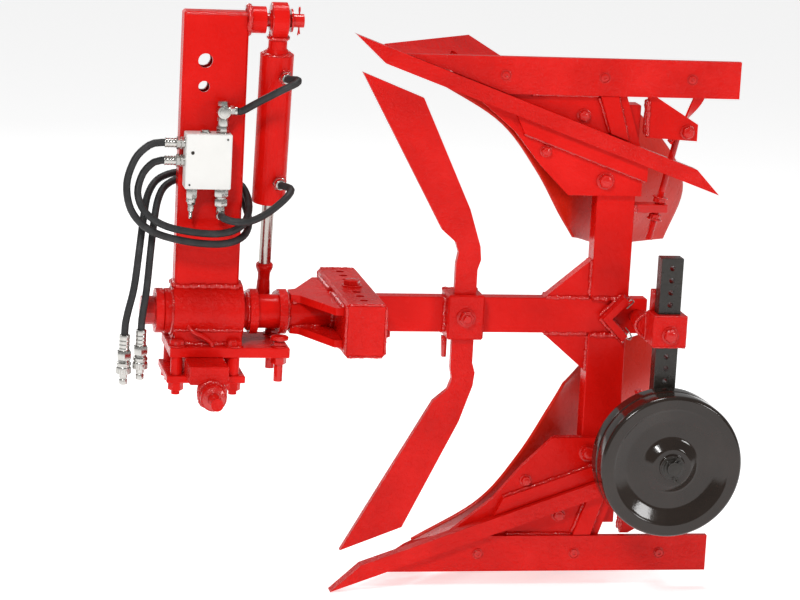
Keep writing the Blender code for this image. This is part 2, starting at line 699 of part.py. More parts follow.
def lower_coulter():
    """The knife that cuts the furrow wall ahead of the lower body."""
    outline = (
        (0.4425, -0.0010), (0.4820, -0.0010), (0.4820, -0.0850), (0.4875, -0.1030),
        (0.4850, -0.1270), (0.4630, -0.1935), (0.3690, -0.3900), (0.2580, -0.4330),
        (0.4140, -0.1560), (0.4395, -0.1340), (0.4460, -0.1150), (0.4425, -0.0950),
    )
    return place(plate("lower_coulter", outline, *COULTER_Y), TURNOVER, "red_paint")


def stop_angle():
    """The bent plate on the beam's side between whose legs the wheel arm's stop moves."""
    outline = (
        (0.714, 0.000), (0.752, 0.040), (0.762, 0.032), (0.731, 0.000), (0.762, -0.032),
        (0.752, -0.040),
    )
    near = -SHANK_HALF_DEPTH - 0.024
    return place(
        plate("stop_angle", outline, near, -SHANK_HALF_DEPTH - GAP), TURNOVER, "red_paint"
    )


def wheel_pivot_pin():
    """The pin through the beam's end on which the wheel arm swings."""
    pin = cylinder(
        "wheel_pivot_pin", (ARM_PIVOT_X, -0.0885, 0), (ARM_PIVOT_X, 0.026, 0), 0.0125
    )
    head = cylinder("head", (ARM_PIVOT_X, 0.0150, 0), (ARM_PIVOT_X, 0.027, 0), 0.019, 6)
    return place(join(pin, head), TURNOVER, "red_paint")


# ---- plough bodies ------------------------------------------------------------------------
FROG_NEAR = -SHANK_HALF_DEPTH - GAP - FROG_THICKNESS
ON_FROG = FROG_NEAR - GAP       # plane on which the landside and the bar point are bolted


def bar_place(along, across):
    """A point in the bar point's own directions, from its tip, as x and z."""
    run = (math.cos(POINT_ANGLE), math.sin(POINT_ANGLE))
    return (
        POINT_TIP[0] + along * run[0] - across * run[1],
        POINT_TIP[1] + along * run[1] + across * run[0],
    )


def lower_landside():
    """The long flat bar that slides along the furrow wall, cut off under the bar point."""
    slope = math.tan(POINT_ANGLE)
    bottom, top = LANDSIDE_Z

    def front(z):
        return POINT_TIP[0] + (z - POINT_TIP[1]) / slope + 0.003

    outline = (
        (front(bottom), bottom), (LANDSIDE_END, bottom), (LANDSIDE_END, top), (front(top), top)
    )
    landside = plate("lower_landside", outline, ON_FROG - LANDSIDE_THICKNESS, ON_FROG)
    return place(landside, TURNOVER, "red_paint")


def lower_bar_point():
    """The long bar whose ends are both ground to a point, so that it can be turned round."""
    outline = (
        bar_place(0.000, 0.0), bar_place(0.666, 0.0), bar_place(0.722, POINT_WIDTH),
        bar_place(0.067, POINT_WIDTH),
    )
    bar = plate("lower_bar_point", outline, ON_FROG - POINT_THICKNESS, ON_FROG)
    return place(bar, TURNOVER, "red_paint")


def lower_bar_clip():
    """The flat strip that holds the bar point against the frog."""
    low, high = POINT_WIDTH + 0.001, 0.054
    outline = (
        bar_place(0.325, low), bar_place(0.583, low), bar_place(0.592, high),
        bar_place(0.350, high),
    )
    return place(plate("lower_bar_clip", outline, ON_FROG - 0.012, ON_FROG), TURNOVER, "red_paint")


def lower_frog():
    """The plate that joins the shank, landside, share and moldboard."""
    outline = (
        (0.400, -0.455), (0.715, -0.455), (0.735, -0.400), (0.772, -0.290), (0.772, -0.223),
        (0.638, -0.223), (0.585, -0.275), (0.535, -0.335), (0.450, -0.405),
    )
    return place(
        plate("lower_frog", outline, FROG_NEAR, -SHANK_HALF_DEPTH - GAP), TURNOVER, "red_paint"
    )


def curve_through(points, t):
    """A point at a share t of a smooth curve through a few points."""
    smooth = catmull(points, 12)
    reach = t * (len(smooth) - 1)
    low = min(int(reach), len(smooth) - 2)
    return smooth[low].lerp(smooth[low + 1], reach - low)


SHIN = (
    (0.392, -0.004, -0.420), (0.512, 0.000, -0.349), (0.584, 0.004, -0.263),
    (0.635, 0.010, -0.180), (0.668, 0.030, -0.135),
)
TAIL = (
    (0.680, 0.235, -0.420), (0.810, 0.262, -0.350), (0.905, 0.284, -0.262),
    (0.943, 0.292, -0.183), (0.905, 0.272, -0.088),
)
HOLLOW = Vector((0.026, -0.030, 0.0))     # how far the middle lies behind a flat sheet


def lower_moldboard():
    """A curved sheet between the shin in front and the rounded tail, hollow to the furrow."""
    across, up = 16, 12
    low_edge = (SHIN[0], (0.520, 0.108, -0.428), TAIL[0])
    high_edge = (SHIN[-1], (0.758, 0.148, -0.102), TAIL[-1])
    corners = [Vector(p) for p in (SHIN[0], TAIL[0], SHIN[-1], TAIL[-1])]
    bm = bmesh.new()
    rows = []
    for j in range(up + 1):
        v = j / up
        row = []
        for i in range(across + 1):
            u = i / across
            sides = curve_through(SHIN, v).lerp(curve_through(TAIL, v), u)
            edges = curve_through(low_edge, u).lerp(curve_through(high_edge, u), v)
            flat = corners[0].lerp(corners[1], u).lerp(corners[2].lerp(corners[3], u), v)
            bulge = HOLLOW * math.sin(math.pi * u) * math.sin(math.pi * v)
            row.append(bm.verts.new(sides + edges - flat + bulge))
        rows.append(row)
    for low, high in zip(rows, rows[1:]):
        for i in range(across):
            bm.faces.new((low[i], low[i + 1], high[i + 1], high[i]))
    sheet = from_bmesh("lower_moldboard", bm)
    solidify = sheet.modifiers.new("thickness", "SOLIDIFY")
    solidify.thickness = MOLDBOARD_THICKNESS
    solidify.offset = 0
    sheet.data = evaluated_mesh(sheet)
    sheet.modifiers.clear()
    return place(sheet, TURNOVER, "red_paint")


def lower_share():
    """The blade under the moldboard, from the bar point out to its wing."""
    corners = (
        Vector((0.296, -0.014, -0.482)), Vector((0.490, 0.190, -0.476)),
        Vector((0.560, 0.208, -0.4345)), Vector((0.383, -0.008, -0.4345)),
    )
    normal = (corners[1] - corners[0]).cross(corners[3] - corners[0]).normalized()
    bm = bmesh.new()
    upper = [bm.verts.new(p) for p in corners]
    depths = (0.0015, 0.0015, SHARE_THICKNESS, SHARE_THICKNESS)
    lower = [bm.verts.new(p - normal * depth) for p, depth in zip(corners, depths)]
    bm.faces.new(upper)
    bm.faces.new(lower[::-1])
    for i in range(4):
        k = (i + 1) % 4
        bm.faces.new((upper[k], upper[i], lower[i], lower[k]))
    bmesh.ops.recalc_face_normals(bm, faces=bm.faces)
    return place(from_bmesh("lower_share", bm), TURNOVER, "red_paint")


def lower_rear_arm():
    """The short arm behind the frog that braces the landside's heel."""
    outline = (
        (0.775, -0.401), (0.790, -0.401), (0.868, -0.354), (0.868, -0.324),
        (0.775, -0.329),
    )
    arm = plate("lower_rear_arm", outline, FROG_NEAR, -SHANK_HALF_DEPTH - GAP)
    return place(arm, TURNOVER, "red_paint")


def lower_adjuster():
    """The threaded rod between the rear arm and a bracket on the shank, with its nuts."""
    y = 0.0
    top, bottom = Vector((0.800, y, -0.140)), Vector((0.842, y, -0.335))
    rod = cylinder("lower_adjuster", top, bottom, 0.0060, 12)
    bracket = box(
        "bracket", (SHANK_X[1] + GAP, 0.828), (-0.015, 0.015), (-0.205, -0.190), 0.001
    )
    run = (bottom - top).normalized()
    nuts = []
    for distance in (0.036, 0.068):
        start = top + run * distance
        nuts.append(cylinder("nut", start, start + run * 0.010, 0.0110, 6))
    foot = box("foot", (0.826, 0.858), (-0.0188, 0.010), (-0.350, -0.328), 0.001)
    return place(join(rod, bracket, *nuts, foot), TURNOVER, "red_paint")


# ---- depth wheel --------------------------------------------------------------------------
def wheel_arm():
    """The arm that swings on the beam's end and clamps the wheel's leg."""
    hold = 0.0005
    x, z = WHEEL_X, 0.029
    arm = box("wheel_arm", (x - 0.031, x + 0.031), (-0.141, -0.090), (-z, z), 0.002)
    tube = cylinder("tube", (ARM_PIVOT_X, -0.092, 0), (ARM_PIVOT_X, -0.0455, 0), 0.0190)
    bolt = cylinder("bolt", (x, -0.140, -0.006), (x, -0.1505, -0.006), 0.0125, 6)
    web = box("web", (ARM_PIVOT_X - 0.012, x + 0.010), (-0.092, -0.068), (-0.018, 0.018), 0.001)
    leg_hole = box(
        "leg_hole", (x - LEG_HALF_WIDTH - hold, x + LEG_HALF_WIDTH + hold),
        (LEG_Y[0] - hold, LEG_Y[1] + hold), (-0.1, 0.1),
    )
    pin_hole = cylinder("pin_hole", (ARM_PIVOT_X, -0.0895, 0), (ARM_PIVOT_X, 0, 0), 0.0130)
    return place(cut(join(arm, web, tube, bolt), leg_hole, pin_hole), ARM_AXIS, "red_paint")


def wheel_leg():
    """The flat leg with its row of height holes."""
    x = WHEEL_X
    leg = box("wheel_leg", (x - LEG_HALF_WIDTH, x + LEG_HALF_WIDTH), LEG_Y, LEG_Z, 0.001)
    holes = [
        cylinder("hole", (x, -0.2, z), (x, 0.0, z), 0.0050, 12)
        for z in (0.112, 0.090, 0.068, 0.046, -0.048, -0.070, -0.092, -0.114)
    ]
    axle_hole = cylinder("hole", (x, -0.2, WHEEL_Z), (x, 0, WHEEL_Z), AXLE_RADIUS + GAP, 24)
    return place(cut(leg, *holes, axle_hole), ARM_AXIS, "black_paint")


def wheel_axle():
    """The stub axle through the leg, with the collar that keeps the wheel off the leg."""
    axle = cylinder(
        "wheel_axle", (WHEEL_X, -0.226, WHEEL_Z), (WHEEL_X, -0.096, WHEEL_Z), AXLE_RADIUS, 24
    )
    return place(axle, ARM_AXIS, "black_paint")


def depth_wheel():
    """The pressed wheel: a rim ring, a dished face on each side and a hub."""
    outer, inner = WHEEL_Y
    half = (inner - outer) / 2
    r = WHEEL_RADIUS
    face = (
        (r, half - 0.004), (r - 0.004, half), (r - 0.022, half), (r - 0.046, half - 0.012),
        (0.046, half - 0.012), (0.034, half - 0.001), (0.022, half - 0.001),
        (0.022, half + 0.003), (AXLE_RADIUS + 0.0007, half + 0.003),
    )
    seam = [(r, 0.0015), (r - 0.0015, 0.0), (r, -0.0015)]
    near = list(face)
    far = [(radius, -height) for radius, height in face]
    profile = [near[0]] + seam + far + near[:0:-1]
    middle = (WHEEL_X, (inner + outer) / 2, WHEEL_Z)
    wheel = turned("depth_wheel", profile, middle, (0, 1, 0), 64)
    return place(wheel, WHEEL_AXIS, "black_paint")


# ---- assembly -----------------------------------------------------------------------------
headstock_post()
cylinder_bracket()
cylinder_top_pin()
pivot_housing()
base_plate()
clamp_plate()
hitch_crossbar()
for side_name, side_y in (("near", -0.050), ("far", 0.050)):
    stop_bolt("stop_bolt_" + side_name, side_y)
    stop_bolt_end("stop_bolt_nut_" + side_name, side_y)
valve_block()
hose("upper_cylinder_hose", UPPER_HOSE, HEADSTOCK)
hose("lower_cylinder_hose", LOWER_HOSE, HEADSTOCK)
hose("supply_hose_left", LEFT_SUPPLY, HEADSTOCK)
hose("supply_hose_right", RIGHT_SUPPLY, HEADSTOCK)
coupler("coupler_left", LEFT_SUPPLY[-1])
coupler("coupler_right", RIGHT_SUPPLY[-1])
cylinder_barrel()
cylinder_rod()

roll_shaft()
shaft_end_nut()
turnover_crank()
cross_box()
box_gusset("box_gusset_upper", 1)
box_gusset("box_gusset_lower", -1)
beam()
coulter_clamp()
stop_angle()
wheel_pivot_pin()
for lower_piece in (
    lower_shank, lower_knee_gusset, lower_coulter, lower_landside, lower_bar_point,
    lower_bar_clip, lower_frog, lower_moldboard, lower_share, lower_rear_arm, lower_adjuster,
):
    made_piece = lower_piece()
    upper_copy(made_piece, made_piece.name.replace("lower", "upper"))

wheel_arm()
wheel_leg()
wheel_axle()
depth_wheel()
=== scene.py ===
"""The finished look of a reversible moldboard plough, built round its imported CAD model.

Places are given from the roll axis, about which the plough turns over, in metres: +X to the
rear, +Y to the furrow side and +Z up.  What belongs to the lower body is repeated, mirrored
in Z, for the upper one.
"""

import json
import math
import random

import bmesh
import bpy
from mathutils import Matrix, Vector, noise

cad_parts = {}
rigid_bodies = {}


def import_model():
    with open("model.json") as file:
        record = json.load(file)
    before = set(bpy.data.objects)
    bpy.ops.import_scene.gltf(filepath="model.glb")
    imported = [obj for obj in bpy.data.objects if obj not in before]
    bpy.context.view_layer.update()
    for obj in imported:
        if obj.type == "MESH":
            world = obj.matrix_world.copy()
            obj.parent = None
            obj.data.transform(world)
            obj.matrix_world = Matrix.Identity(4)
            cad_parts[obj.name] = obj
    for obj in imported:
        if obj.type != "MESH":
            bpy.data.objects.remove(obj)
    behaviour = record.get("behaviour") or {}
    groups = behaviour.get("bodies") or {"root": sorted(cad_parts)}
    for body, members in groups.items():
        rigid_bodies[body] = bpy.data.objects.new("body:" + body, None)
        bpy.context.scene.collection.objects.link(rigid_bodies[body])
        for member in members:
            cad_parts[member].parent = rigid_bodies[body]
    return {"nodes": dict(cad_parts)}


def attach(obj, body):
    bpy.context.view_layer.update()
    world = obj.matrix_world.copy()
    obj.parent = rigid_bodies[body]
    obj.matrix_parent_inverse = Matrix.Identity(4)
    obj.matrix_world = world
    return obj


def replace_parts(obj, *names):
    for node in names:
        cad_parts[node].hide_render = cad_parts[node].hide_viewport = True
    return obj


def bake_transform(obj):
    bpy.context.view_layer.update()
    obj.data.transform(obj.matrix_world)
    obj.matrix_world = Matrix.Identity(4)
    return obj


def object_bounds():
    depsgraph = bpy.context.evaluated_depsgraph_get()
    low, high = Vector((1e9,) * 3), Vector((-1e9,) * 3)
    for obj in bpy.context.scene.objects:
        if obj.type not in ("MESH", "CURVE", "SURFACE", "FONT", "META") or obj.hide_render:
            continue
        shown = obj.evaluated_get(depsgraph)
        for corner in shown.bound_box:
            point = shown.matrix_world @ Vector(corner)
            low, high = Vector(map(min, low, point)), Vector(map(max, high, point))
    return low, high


for old in list(bpy.data.objects):
    bpy.data.objects.remove(old, do_unlink=True)

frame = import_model()
CAD_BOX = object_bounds()
random.seed(7)
noise.seed_set(7)

ROLL_Z = 0.119                  # roll axis over the frame's origin
UP = Vector((0, 0, ROLL_Z))
NEAR = (0, -1, 0)               # towards the viewer
FAR = (0, 1, 0)

# ---- camera and light ----
AZIMUTH, ELEVATION, ROLL = math.radians(-11.5), math.radians(12.0), math.radians(3.0)
DISTANCE, SENSOR = 5.5, 36.0
TARGET = Vector((0.35, 0.0, ROLL_Z + 0.0225))
VIEW_WIDTH = 1.424              # metres seen across the frame at the target

back = Vector((
    math.sin(AZIMUTH) * math.cos(ELEVATION), -math.cos(AZIMUTH) * math.cos(ELEVATION),
    math.sin(ELEVATION),
))
camera = bpy.data.objects.new("camera", bpy.data.cameras.new("camera"))
camera.data.sensor_width = SENSOR
camera.data.lens = SENSOR * DISTANCE / VIEW_WIDTH
camera.data.clip_end = 100.0
camera.matrix_world = (
    Matrix.Translation(TARGET + back * DISTANCE)
    @ (-back).to_track_quat("-Z", "Y").to_matrix().to_4x4()
    @ Matrix.Rotation(ROLL, 4, "Z")
)
bpy.context.scene.collection.objects.link(camera)
bpy.context.scene.camera = camera
bpy.context.scene.view_settings.view_transform = "Standard"

world = bpy.data.worlds.new("studio")
bpy.context.scene.world = world
world.use_nodes = True
world.node_tree.nodes["Background"].inputs["Color"].default_value = (1.0, 1.0, 1.0, 1.0)
world.node_tree.nodes["Background"].inputs["Strength"].default_value = 0.32


def area_light(name, place, size, energy):
    """A soft square light that faces the middle of the plough."""
    light = bpy.data.objects.new(name, bpy.data.lights.new(name, "AREA"))
    light.data.size = size
    light.data.energy = energy
    light.location = place
    light.rotation_mode = "QUATERNION"
    light.rotation_quaternion = (TARGET - Vector(place)).to_track_quat("-Z", "Y")
    bpy.context.scene.collection.objects.link(light)


area_light("key", (-1.6, -3.4, 3.2), 0.9, 116)
area_light("fill", (3.2, -3.0, 1.2), 0.8, 34)
area_light("top", (0.6, 0.4, 3.6), 0.8, 48)
area_light("behind", (-0.8, 3.4, 2.2), 1.6, 36)


# ---- materials ----
class Surface:
    """A Principled material whose patterns lie on the object's own coordinates."""

    def __init__(self, name, metallic=0.0):
        self.material = bpy.data.materials.new(name)
        self.material.use_nodes = True
        self.nodes, self.links = self.material.node_tree.nodes, self.material.node_tree.links
        self.shader = self.nodes["Principled BSDF"]
        self.shader.inputs["Metallic"].default_value = metallic
        self.place = self.nodes.new("ShaderNodeTexCoord").outputs["Object"]

    def add(self, kind, linked, values):
        """A node with some sockets linked and others set."""
        made = self.nodes.new(kind)
        for socket, source in linked.items():
            self.links.new(source, made.inputs[socket])
        for socket, value in values.items():
            made.inputs[socket].default_value = value
        return made

    def speckle(self, scale, detail=3.0, roughness=0.55, distortion=0.0):
        """A noise pattern of that many features a metre."""
        return self.add("ShaderNodeTexNoise", {"Vector": self.place}, {
            "Scale": scale, "Detail": detail, "Roughness": roughness, "Distortion": distortion,
        }).outputs["Fac"]

    def colour(self, pattern, stops):
        """The base colour by a pattern, from (position, colour) pairs."""
        made = self.add("ShaderNodeValToRGB", {"Fac": pattern}, {})
        elements = made.color_ramp.elements
        while len(elements) < len(stops):
            elements.new(0.5)
        for element, (position, tone) in zip(elements, stops):
            element.position = position
            element.color = (*tone, 1.0)
        self.links.new(made.outputs["Color"], self.shader.inputs["Base Color"])

    def roughness(self, pattern, low, high):
        """The roughness by a pattern, whose values mostly lie between 0.3 and 0.7."""
        made = self.add("ShaderNodeMapRange", {"Value": pattern}, {
            "From Min": 0.3, "From Max": 0.7, "To Min": low, "To Max": high,
        })
        self.links.new(made.outputs["Result"], self.shader.inputs["Roughness"])

    def bump(self, *layers):
        """Relief from (pattern, strength, depth) layers, the coarsest first."""
        normal = None
        for height, strength, distance in layers:
            linked = {"Height": height, "Normal": normal} if normal else {"Height": height}
            values = {"Strength": strength, "Distance": distance}
            normal = self.add("ShaderNodeBump", linked, values).outputs["Normal"]
        self.links.new(normal, self.shader.inputs["Normal"])


def shades(colour, spread):
    """A darker, a plain and a lighter tone of a colour."""
    return (
        (0.3, tuple(c * (1 - spread) for c in colour)), (0.5, colour),
        (0.72, tuple(min(1.0, c * (1 + spread) + 0.004) for c in colour)),
    )


def paint(name, colour, roughness, peel, drag, spread, coat, gloss):
    """Gloss paint: fine orange peel, and the coarser drag of brush and mill scale under it."""
    made = Surface(name)
    made.colour(made.speckle(9.0, 4.0), shades(colour, spread))
    made.roughness(made.speckle(34.0), roughness * 0.75, roughness * 1.35)
    made.bump((made.speckle(95.0, 5.0, 0.6, 0.6), drag, 0.003),
              (made.speckle(420.0, 2.0), peel, 0.001))
    made.shader.inputs["Coat Weight"].default_value = coat
    made.shader.inputs["Coat Roughness"].default_value = 0.08
    made.shader.inputs["Specular IOR Level"].default_value = gloss
    return made.material


def metal(name, colour, roughness, spread, scratch):
    """Plated or ground steel with faint stains and fine scratches round it."""
    made = Surface(name, 1.0)
    made.colour(made.speckle(60.0, 5.0), shades(colour, spread))
    made.roughness(made.speckle(190.0, 4.0), roughness * 0.7, roughness * 1.5)
    made.bump((made.speckle(900.0), scratch, 0.0006))
    return made.material


def rubber(name, colour):
    """Hose cover: matt, slightly dusty, with the imprint of its wrapping."""
    made = Surface(name)
    made.colour(made.speckle(45.0, 5.0), (
        (0.32, colour), (0.55, tuple(c * 1.5 for c in colour)),
        (0.8, tuple(c * 2.6 + 0.006 for c in colour)),
    ))
    made.roughness(made.speckle(120.0), 0.4, 0.62)
    wrap = made.add("ShaderNodeTexWave", {"Vector": made.place},
                    {"Scale": 150.0, "Distortion": 1.5})
    wrap.bands_direction = "DIAGONAL"
    made.bump((wrap.outputs["Fac"], 0.22, 0.0006))
    made.shader.inputs["Specular IOR Level"].default_value = 0.3
    return made.material


# name, colour, roughness, peel, drag, spread, coat, gloss
RED = paint("red_gloss", (0.59, 0.0056, 0.0032), 0.24, 0.2, 0.26, 0.12, 0.05, 0.08)
RED_ROUGH = paint("red_over_scale", (0.575, 0.0056, 0.0032), 0.2, 0.25, 1.00, 0.14, 0.1, 0.1)
RED_WELD = paint("red_over_weld", (0.53, 0.0056, 0.0032), 0.13, 0.35, 0.8, 0.14, 0.6, 0.35)
RED_SHEET = paint("red_sheet", (0.52, 0.014, 0.005), 0.28, 0.16, 0.25, 0.12, 0.05, 0.12)
RED_BOLT = paint("red_bolt", (0.53, 0.0056, 0.0032), 0.16, 0.22, 0.25, 0.12, 0.3, 0.2)
BLACK = paint("black_gloss", (0.017, 0.011, 0.008), 0.1, 0.05, 0.05, 0.3, 0.22, 0.3)
BLACK_LEG = paint("black_leg", (0.018, 0.0145, 0.011), 0.28, 0.2, 0.35, 0.35, 0.15, 0.35)
WHITE = paint("white_satin", (0.7, 0.695, 0.67), 0.38, 0.1, 0.06, 0.05, 0.08, 0.3)
# name, colour, roughness, spread, scratch
ZINC = metal("zinc_plate", (0.5, 0.49, 0.465), 0.2, 0.08, 0.03)
ZINC_DULL = metal("zinc_dull", (0.4, 0.385, 0.355), 0.3, 0.12, 0.04)
CHROME = metal("hard_chrome", (0.39, 0.355, 0.33), 0.2, 0.05, 0.03)
RUBBER = rubber("hose_cover", (0.0145, 0.0145, 0.015))

# the material in each CAD part's slot, by words found anywhere in its name
ROUGH_NODES = (
    "coulter", "landside", "bar_point", "share", "pivot_housing", "hitch_crossbar", "cross_box",
    "wheel_arm", "coulter_clamp", "turnover_crank",
)
for name, node in frame["nodes"].items():
    finish = RED
    if any(word in name for word in ROUGH_NODES):
        finish = RED_ROUGH
    elif "moldboard" in name:
        finish = RED_SHEET
    elif "bolt" in name or "nut" in name or "pin" in name or "adjuster" in name:
        finish = RED_BOLT
    elif name in ("wheel_leg", "wheel_axle"):
        finish = BLACK_LEG
    node.data.materials.clear()
    node.data.materials.append(finish)


# ---- shapes ----
def turn_to(direction):
    """The rotation that takes +Z to a direction."""
    return Vector((0, 0, 1)).rotation_difference(Vector(direction)).to_matrix().to_4x4()


def piece(name, bm, body, material, angle=35.0, up=True):
    """A finished mesh that rides on a body and takes its slot from its material."""
    mesh = bpy.data.meshes.new(name)
    if up:
        bmesh.ops.translate(bm, vec=UP, verts=bm.verts)
    bmesh.ops.recalc_face_normals(bm, faces=bm.faces)
    bm.to_mesh(mesh)
    bm.free()
    made = bpy.data.objects.new(name, mesh)
    bpy.context.scene.collection.objects.link(made)
    mesh.materials.append(material)
    mesh.shade_smooth()
    mesh.set_sharp_from_angle(angle=math.radians(angle))
    if body:
        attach(made, body)
    return made


def both_bodies(build, material, angle=35.0):
    """The work of a function on the lower plough body and, mirrored, on the upper one."""
    for prefix, flip in (("lower_", False), ("upper_", True)):
        bm = bmesh.new()
        build(bm)
        if flip:
            bmesh.ops.scale(bm, vec=(1, 1, -1), verts=bm.verts)
            bmesh.ops.reverse_faces(bm, faces=bm.faces)
        piece(prefix + build.__name__, bm, "turnover", material, angle)


def ring(radius, height, sides):
    """Points on a circle round +Z, at a height."""
    turns = (2 * math.pi * k / sides for k in range(sides))
    return [Vector((radius * math.cos(t), radius * math.sin(t), height)) for t in turns]


def add_ring_walls(bm, rings, closed=False):
    """Faces between consecutive rings of vertices."""
    pairs = list(zip(rings, rings[1:]))
    if closed:
        pairs.append((rings[-1], rings[0]))
    for low, high in pairs:
        count = len(low)
        for i in range(count):
            k = (i + 1) % count
            bm.faces.new((low[i], low[k], high[k], high[i]))


def add_tube(bm, points, radii, sides=12, closed=False):
    """A round tube along points, with a radius for each; flat caps unless it is a loop."""
    points = [Vector(p) for p in points]
    if not hasattr(radii, "__len__"):
        radii = [radii] * len(points)
    last = len(points) - 1
    normal = None
    rings = []
    for i, point in enumerate(points):
        before = points[i - 1] if i else (points[last] if closed else points[0])
        after = points[i + 1] if i < last else (points[0] if closed else points[last])
        tangent = (after - before).normalized()
        if normal is None:
            other = Vector((0, 0, 1)) if abs(tangent.z) < 0.9 else Vector((1, 0, 0))
            normal = tangent.cross(other).normalized()
        normal = (normal - tangent * normal.dot(tangent)).normalized()
        side = tangent.cross(normal)
        rings.append([
            bm.verts.new(point + (normal * math.cos(turn) + side * math.sin(turn)) * radii[i])
            for turn in (2 * math.pi * k / sides for k in range(sides))
        ])
    add_ring_walls(bm, rings, closed)
    if not closed:
        bm.faces.new(rings[0][::-1])
        bm.faces.new(rings[-1])


def add_turned(bm, profile, start, direction, sides=32):
    """An open profile of (radius, height) pairs turned about a line; ends on the axis close."""
    place = Matrix.Translation(start) @ turn_to(direction)
    rings = []
    for radius, height in profile:
        if radius < 1e-6:
            rings.append([bm.verts.new(place @ Vector((0, 0, height)))])
            continue
        rings.append([bm.verts.new(place @ point) for point in ring(radius, height, sides)])
    for low, high in zip(rings, rings[1:]):
        for i in range(sides):
            k = (i + 1) % sides
            if len(low) == 1:
                bm.faces.new((low[0], high[k], high[i]))
            elif len(high) == 1:
                bm.faces.new((low[i], low[k], high[0]))
            else:
                bm.faces.new((low[i], low[k], high[k], high[i]))


def add_loop(bm, profile, start, direction, sides=32):
    """A closed profile turned about a line, as a ring with a hole."""
    place = Matrix.Translation(start) @ turn_to(direction)
    rings = [
        [bm.verts.new(place @ point) for point in ring(radius, height, sides)]
        for radius, height in profile
    ]
    add_ring_walls(bm, rings, closed=True)


def rounded(profile, radius, steps=3):
    """The same profile with its inner corners rounded."""
    points = [Vector(p) for p in profile]
    smooth = [points[0]]
    for a, b, c in zip(points, points[1:], points[2:]):
        reach = min(radius, (a - b).length * 0.45, (c - b).length * 0.45)
        start, end = b + (a - b).normalized() * reach, b + (c - b).normalized() * reach
        for i in range(steps + 1):
            t = i / steps
            smooth.append(start * (1 - t) ** 2 + b * 2 * t * (1 - t) + end * t * t)
    return [tuple(p) for p in smooth + [points[-1]]]


def add_box(bm, x, y, z, bevel=0.0015, segments=2):
    """A block with rounded edges between two values on each axis."""
    made = bmesh.ops.create_cube(bm, size=1.0)["verts"]
    bmesh.ops.scale(bm, vec=(x[1] - x[0], y[1] - y[0], z[1] - z[0]), verts=made)
    middle = Vector((x[0] + x[1], y[0] + y[1], z[0] + z[1])) / 2
    bmesh.ops.translate(bm, vec=middle, verts=made)
    edges = dict.fromkeys(edge for vert in made for edge in vert.link_edges)
    bmesh.ops.bevel(bm, geom=list(edges), offset=bevel, segments=segments, affect="EDGES")


def add_plate(bm, outline, low, high, bevel=0.001):
    """An outline in X and Z, extruded across Y, with rounded edges."""
    bottom = [bm.verts.new((x, low, z)) for x, z in outline]
    top = [bm.verts.new((x, high, z)) for x, z in outline]
    bm.faces.new(bottom)
    bm.faces.new(top[::-1])
    add_ring_walls(bm, [bottom, top])
    edges = dict.fromkeys(edge for vert in bottom + top for edge in vert.link_edges)
    bmesh.ops.bevel(bm, geom=list(edges), offset=bevel, segments=1, affect="EDGES")


def add_hex(bm, place, radius, low, high, chamfer=0.14):
    """A hexagon across the local Z of a placing matrix, with its upper corners turned off."""
    rings = []
    for height, reach in (
        (low, radius * 0.96), (low + (high - low) * 0.06, radius),
        (high - (high - low) * 0.24, radius), (high, radius * (1 - chamfer)),
    ):
        rings.append([bm.verts.new(place @ point) for point in ring(reach, height, 6)])
    add_ring_walls(bm, rings)
    bm.faces.new(rings[0][::-1])
    bm.faces.new(rings[-1])


def add_thread(bm, start, direction, radius, length, pitch=0.0018, sides=14):
    """A threaded end: fine ridges down to a bevelled tip."""
    profile, height = [(0.0, 0.0)], 0.0
    while height < length - 0.002:
        profile += [(radius, height), (radius * 0.9, height + pitch / 2)]
        height += pitch
    profile += [(radius * 0.8, length), (0.0, length)]
    add_turned(bm, profile, start, direction, sides)


def add_bolt(bm, at, direction, radius, height, washer=0.0022, stub=0.0, turn=None):
    """A hexagon head or nut on its washer, with the thread's end if it has a stub."""
    turn = random.uniform(0, math.pi / 3) if turn is None else turn
    place = Matrix.Translation(at) @ turn_to(direction) @ Matrix.Rotation(turn, 4, "Z")
    run = Vector(direction).normalized()
    if washer:
        profile = rounded(
            [(0.0, -0.0005), (radius * 1.22, -0.0005), (radius * 1.22, washer), (0.0, washer)],
            0.0006, 2,
        )
        add_turned(bm, profile, at, direction, 24)
    add_hex(bm, place, radius, washer, washer + height)
    if stub:
        add_thread(bm, Vector(at) + run * (washer + height - 0.001), direction, radius * 0.55,
                   stub)
    else:
        dome = [(radius * 0.62, washer + height), (radius * 0.5, washer + height + 0.0006),
                (0.0, washer + height + 0.0009)]
        add_turned(bm, dome, at, direction, 16)


def evenly(points, spacing, closed=False):
    """Points a fixed distance apart along a line."""
    points = [Vector(p) for p in points]
    if closed:
        points.append(points[0].copy())
    lengths = [(b - a).length for a, b in zip(points, points[1:])]
    count = max(3, round(sum(lengths) / spacing))
    step = sum(lengths) / count
    kept, travelled, target = [points[0]], 0.0, step
    for a, b, length in zip(points, points[1:], lengths):
        while len(kept) < count and travelled + length >= target:
            kept.append(a.lerp(b, (target - travelled) / length))
            target += step
        travelled += length
    return kept if closed else kept + [points[-1]]


def add_weld(bm, points, radius, closed=False, pitch=0.0052):
    """A hand-laid bead: overlapping ripples whose width and line wander a little."""
    line = evenly(points, pitch / 4, closed)
    radii, wandered = [], []
    for i, point in enumerate(line):
        ripple = abs(math.sin(math.pi * i / 4 + 0.3))
        rough = noise.noise(point * 160.0)
        radii.append(radius * (1.02 + 0.24 * ripple + 0.36 * rough))
        wandered.append(point + Vector(noise.noise_vector(point * 90.0)) * radius * 0.35)
    if not closed:
        radii[0] = radii[-1] = radius * 0.4
    add_tube(bm, wandered, radii, 7, closed)


def add_welds(bm, *seams):
    """Straight or bent beads, each a radius and its points."""
    for radius, *line in seams:
        add_weld(bm, line, radius)


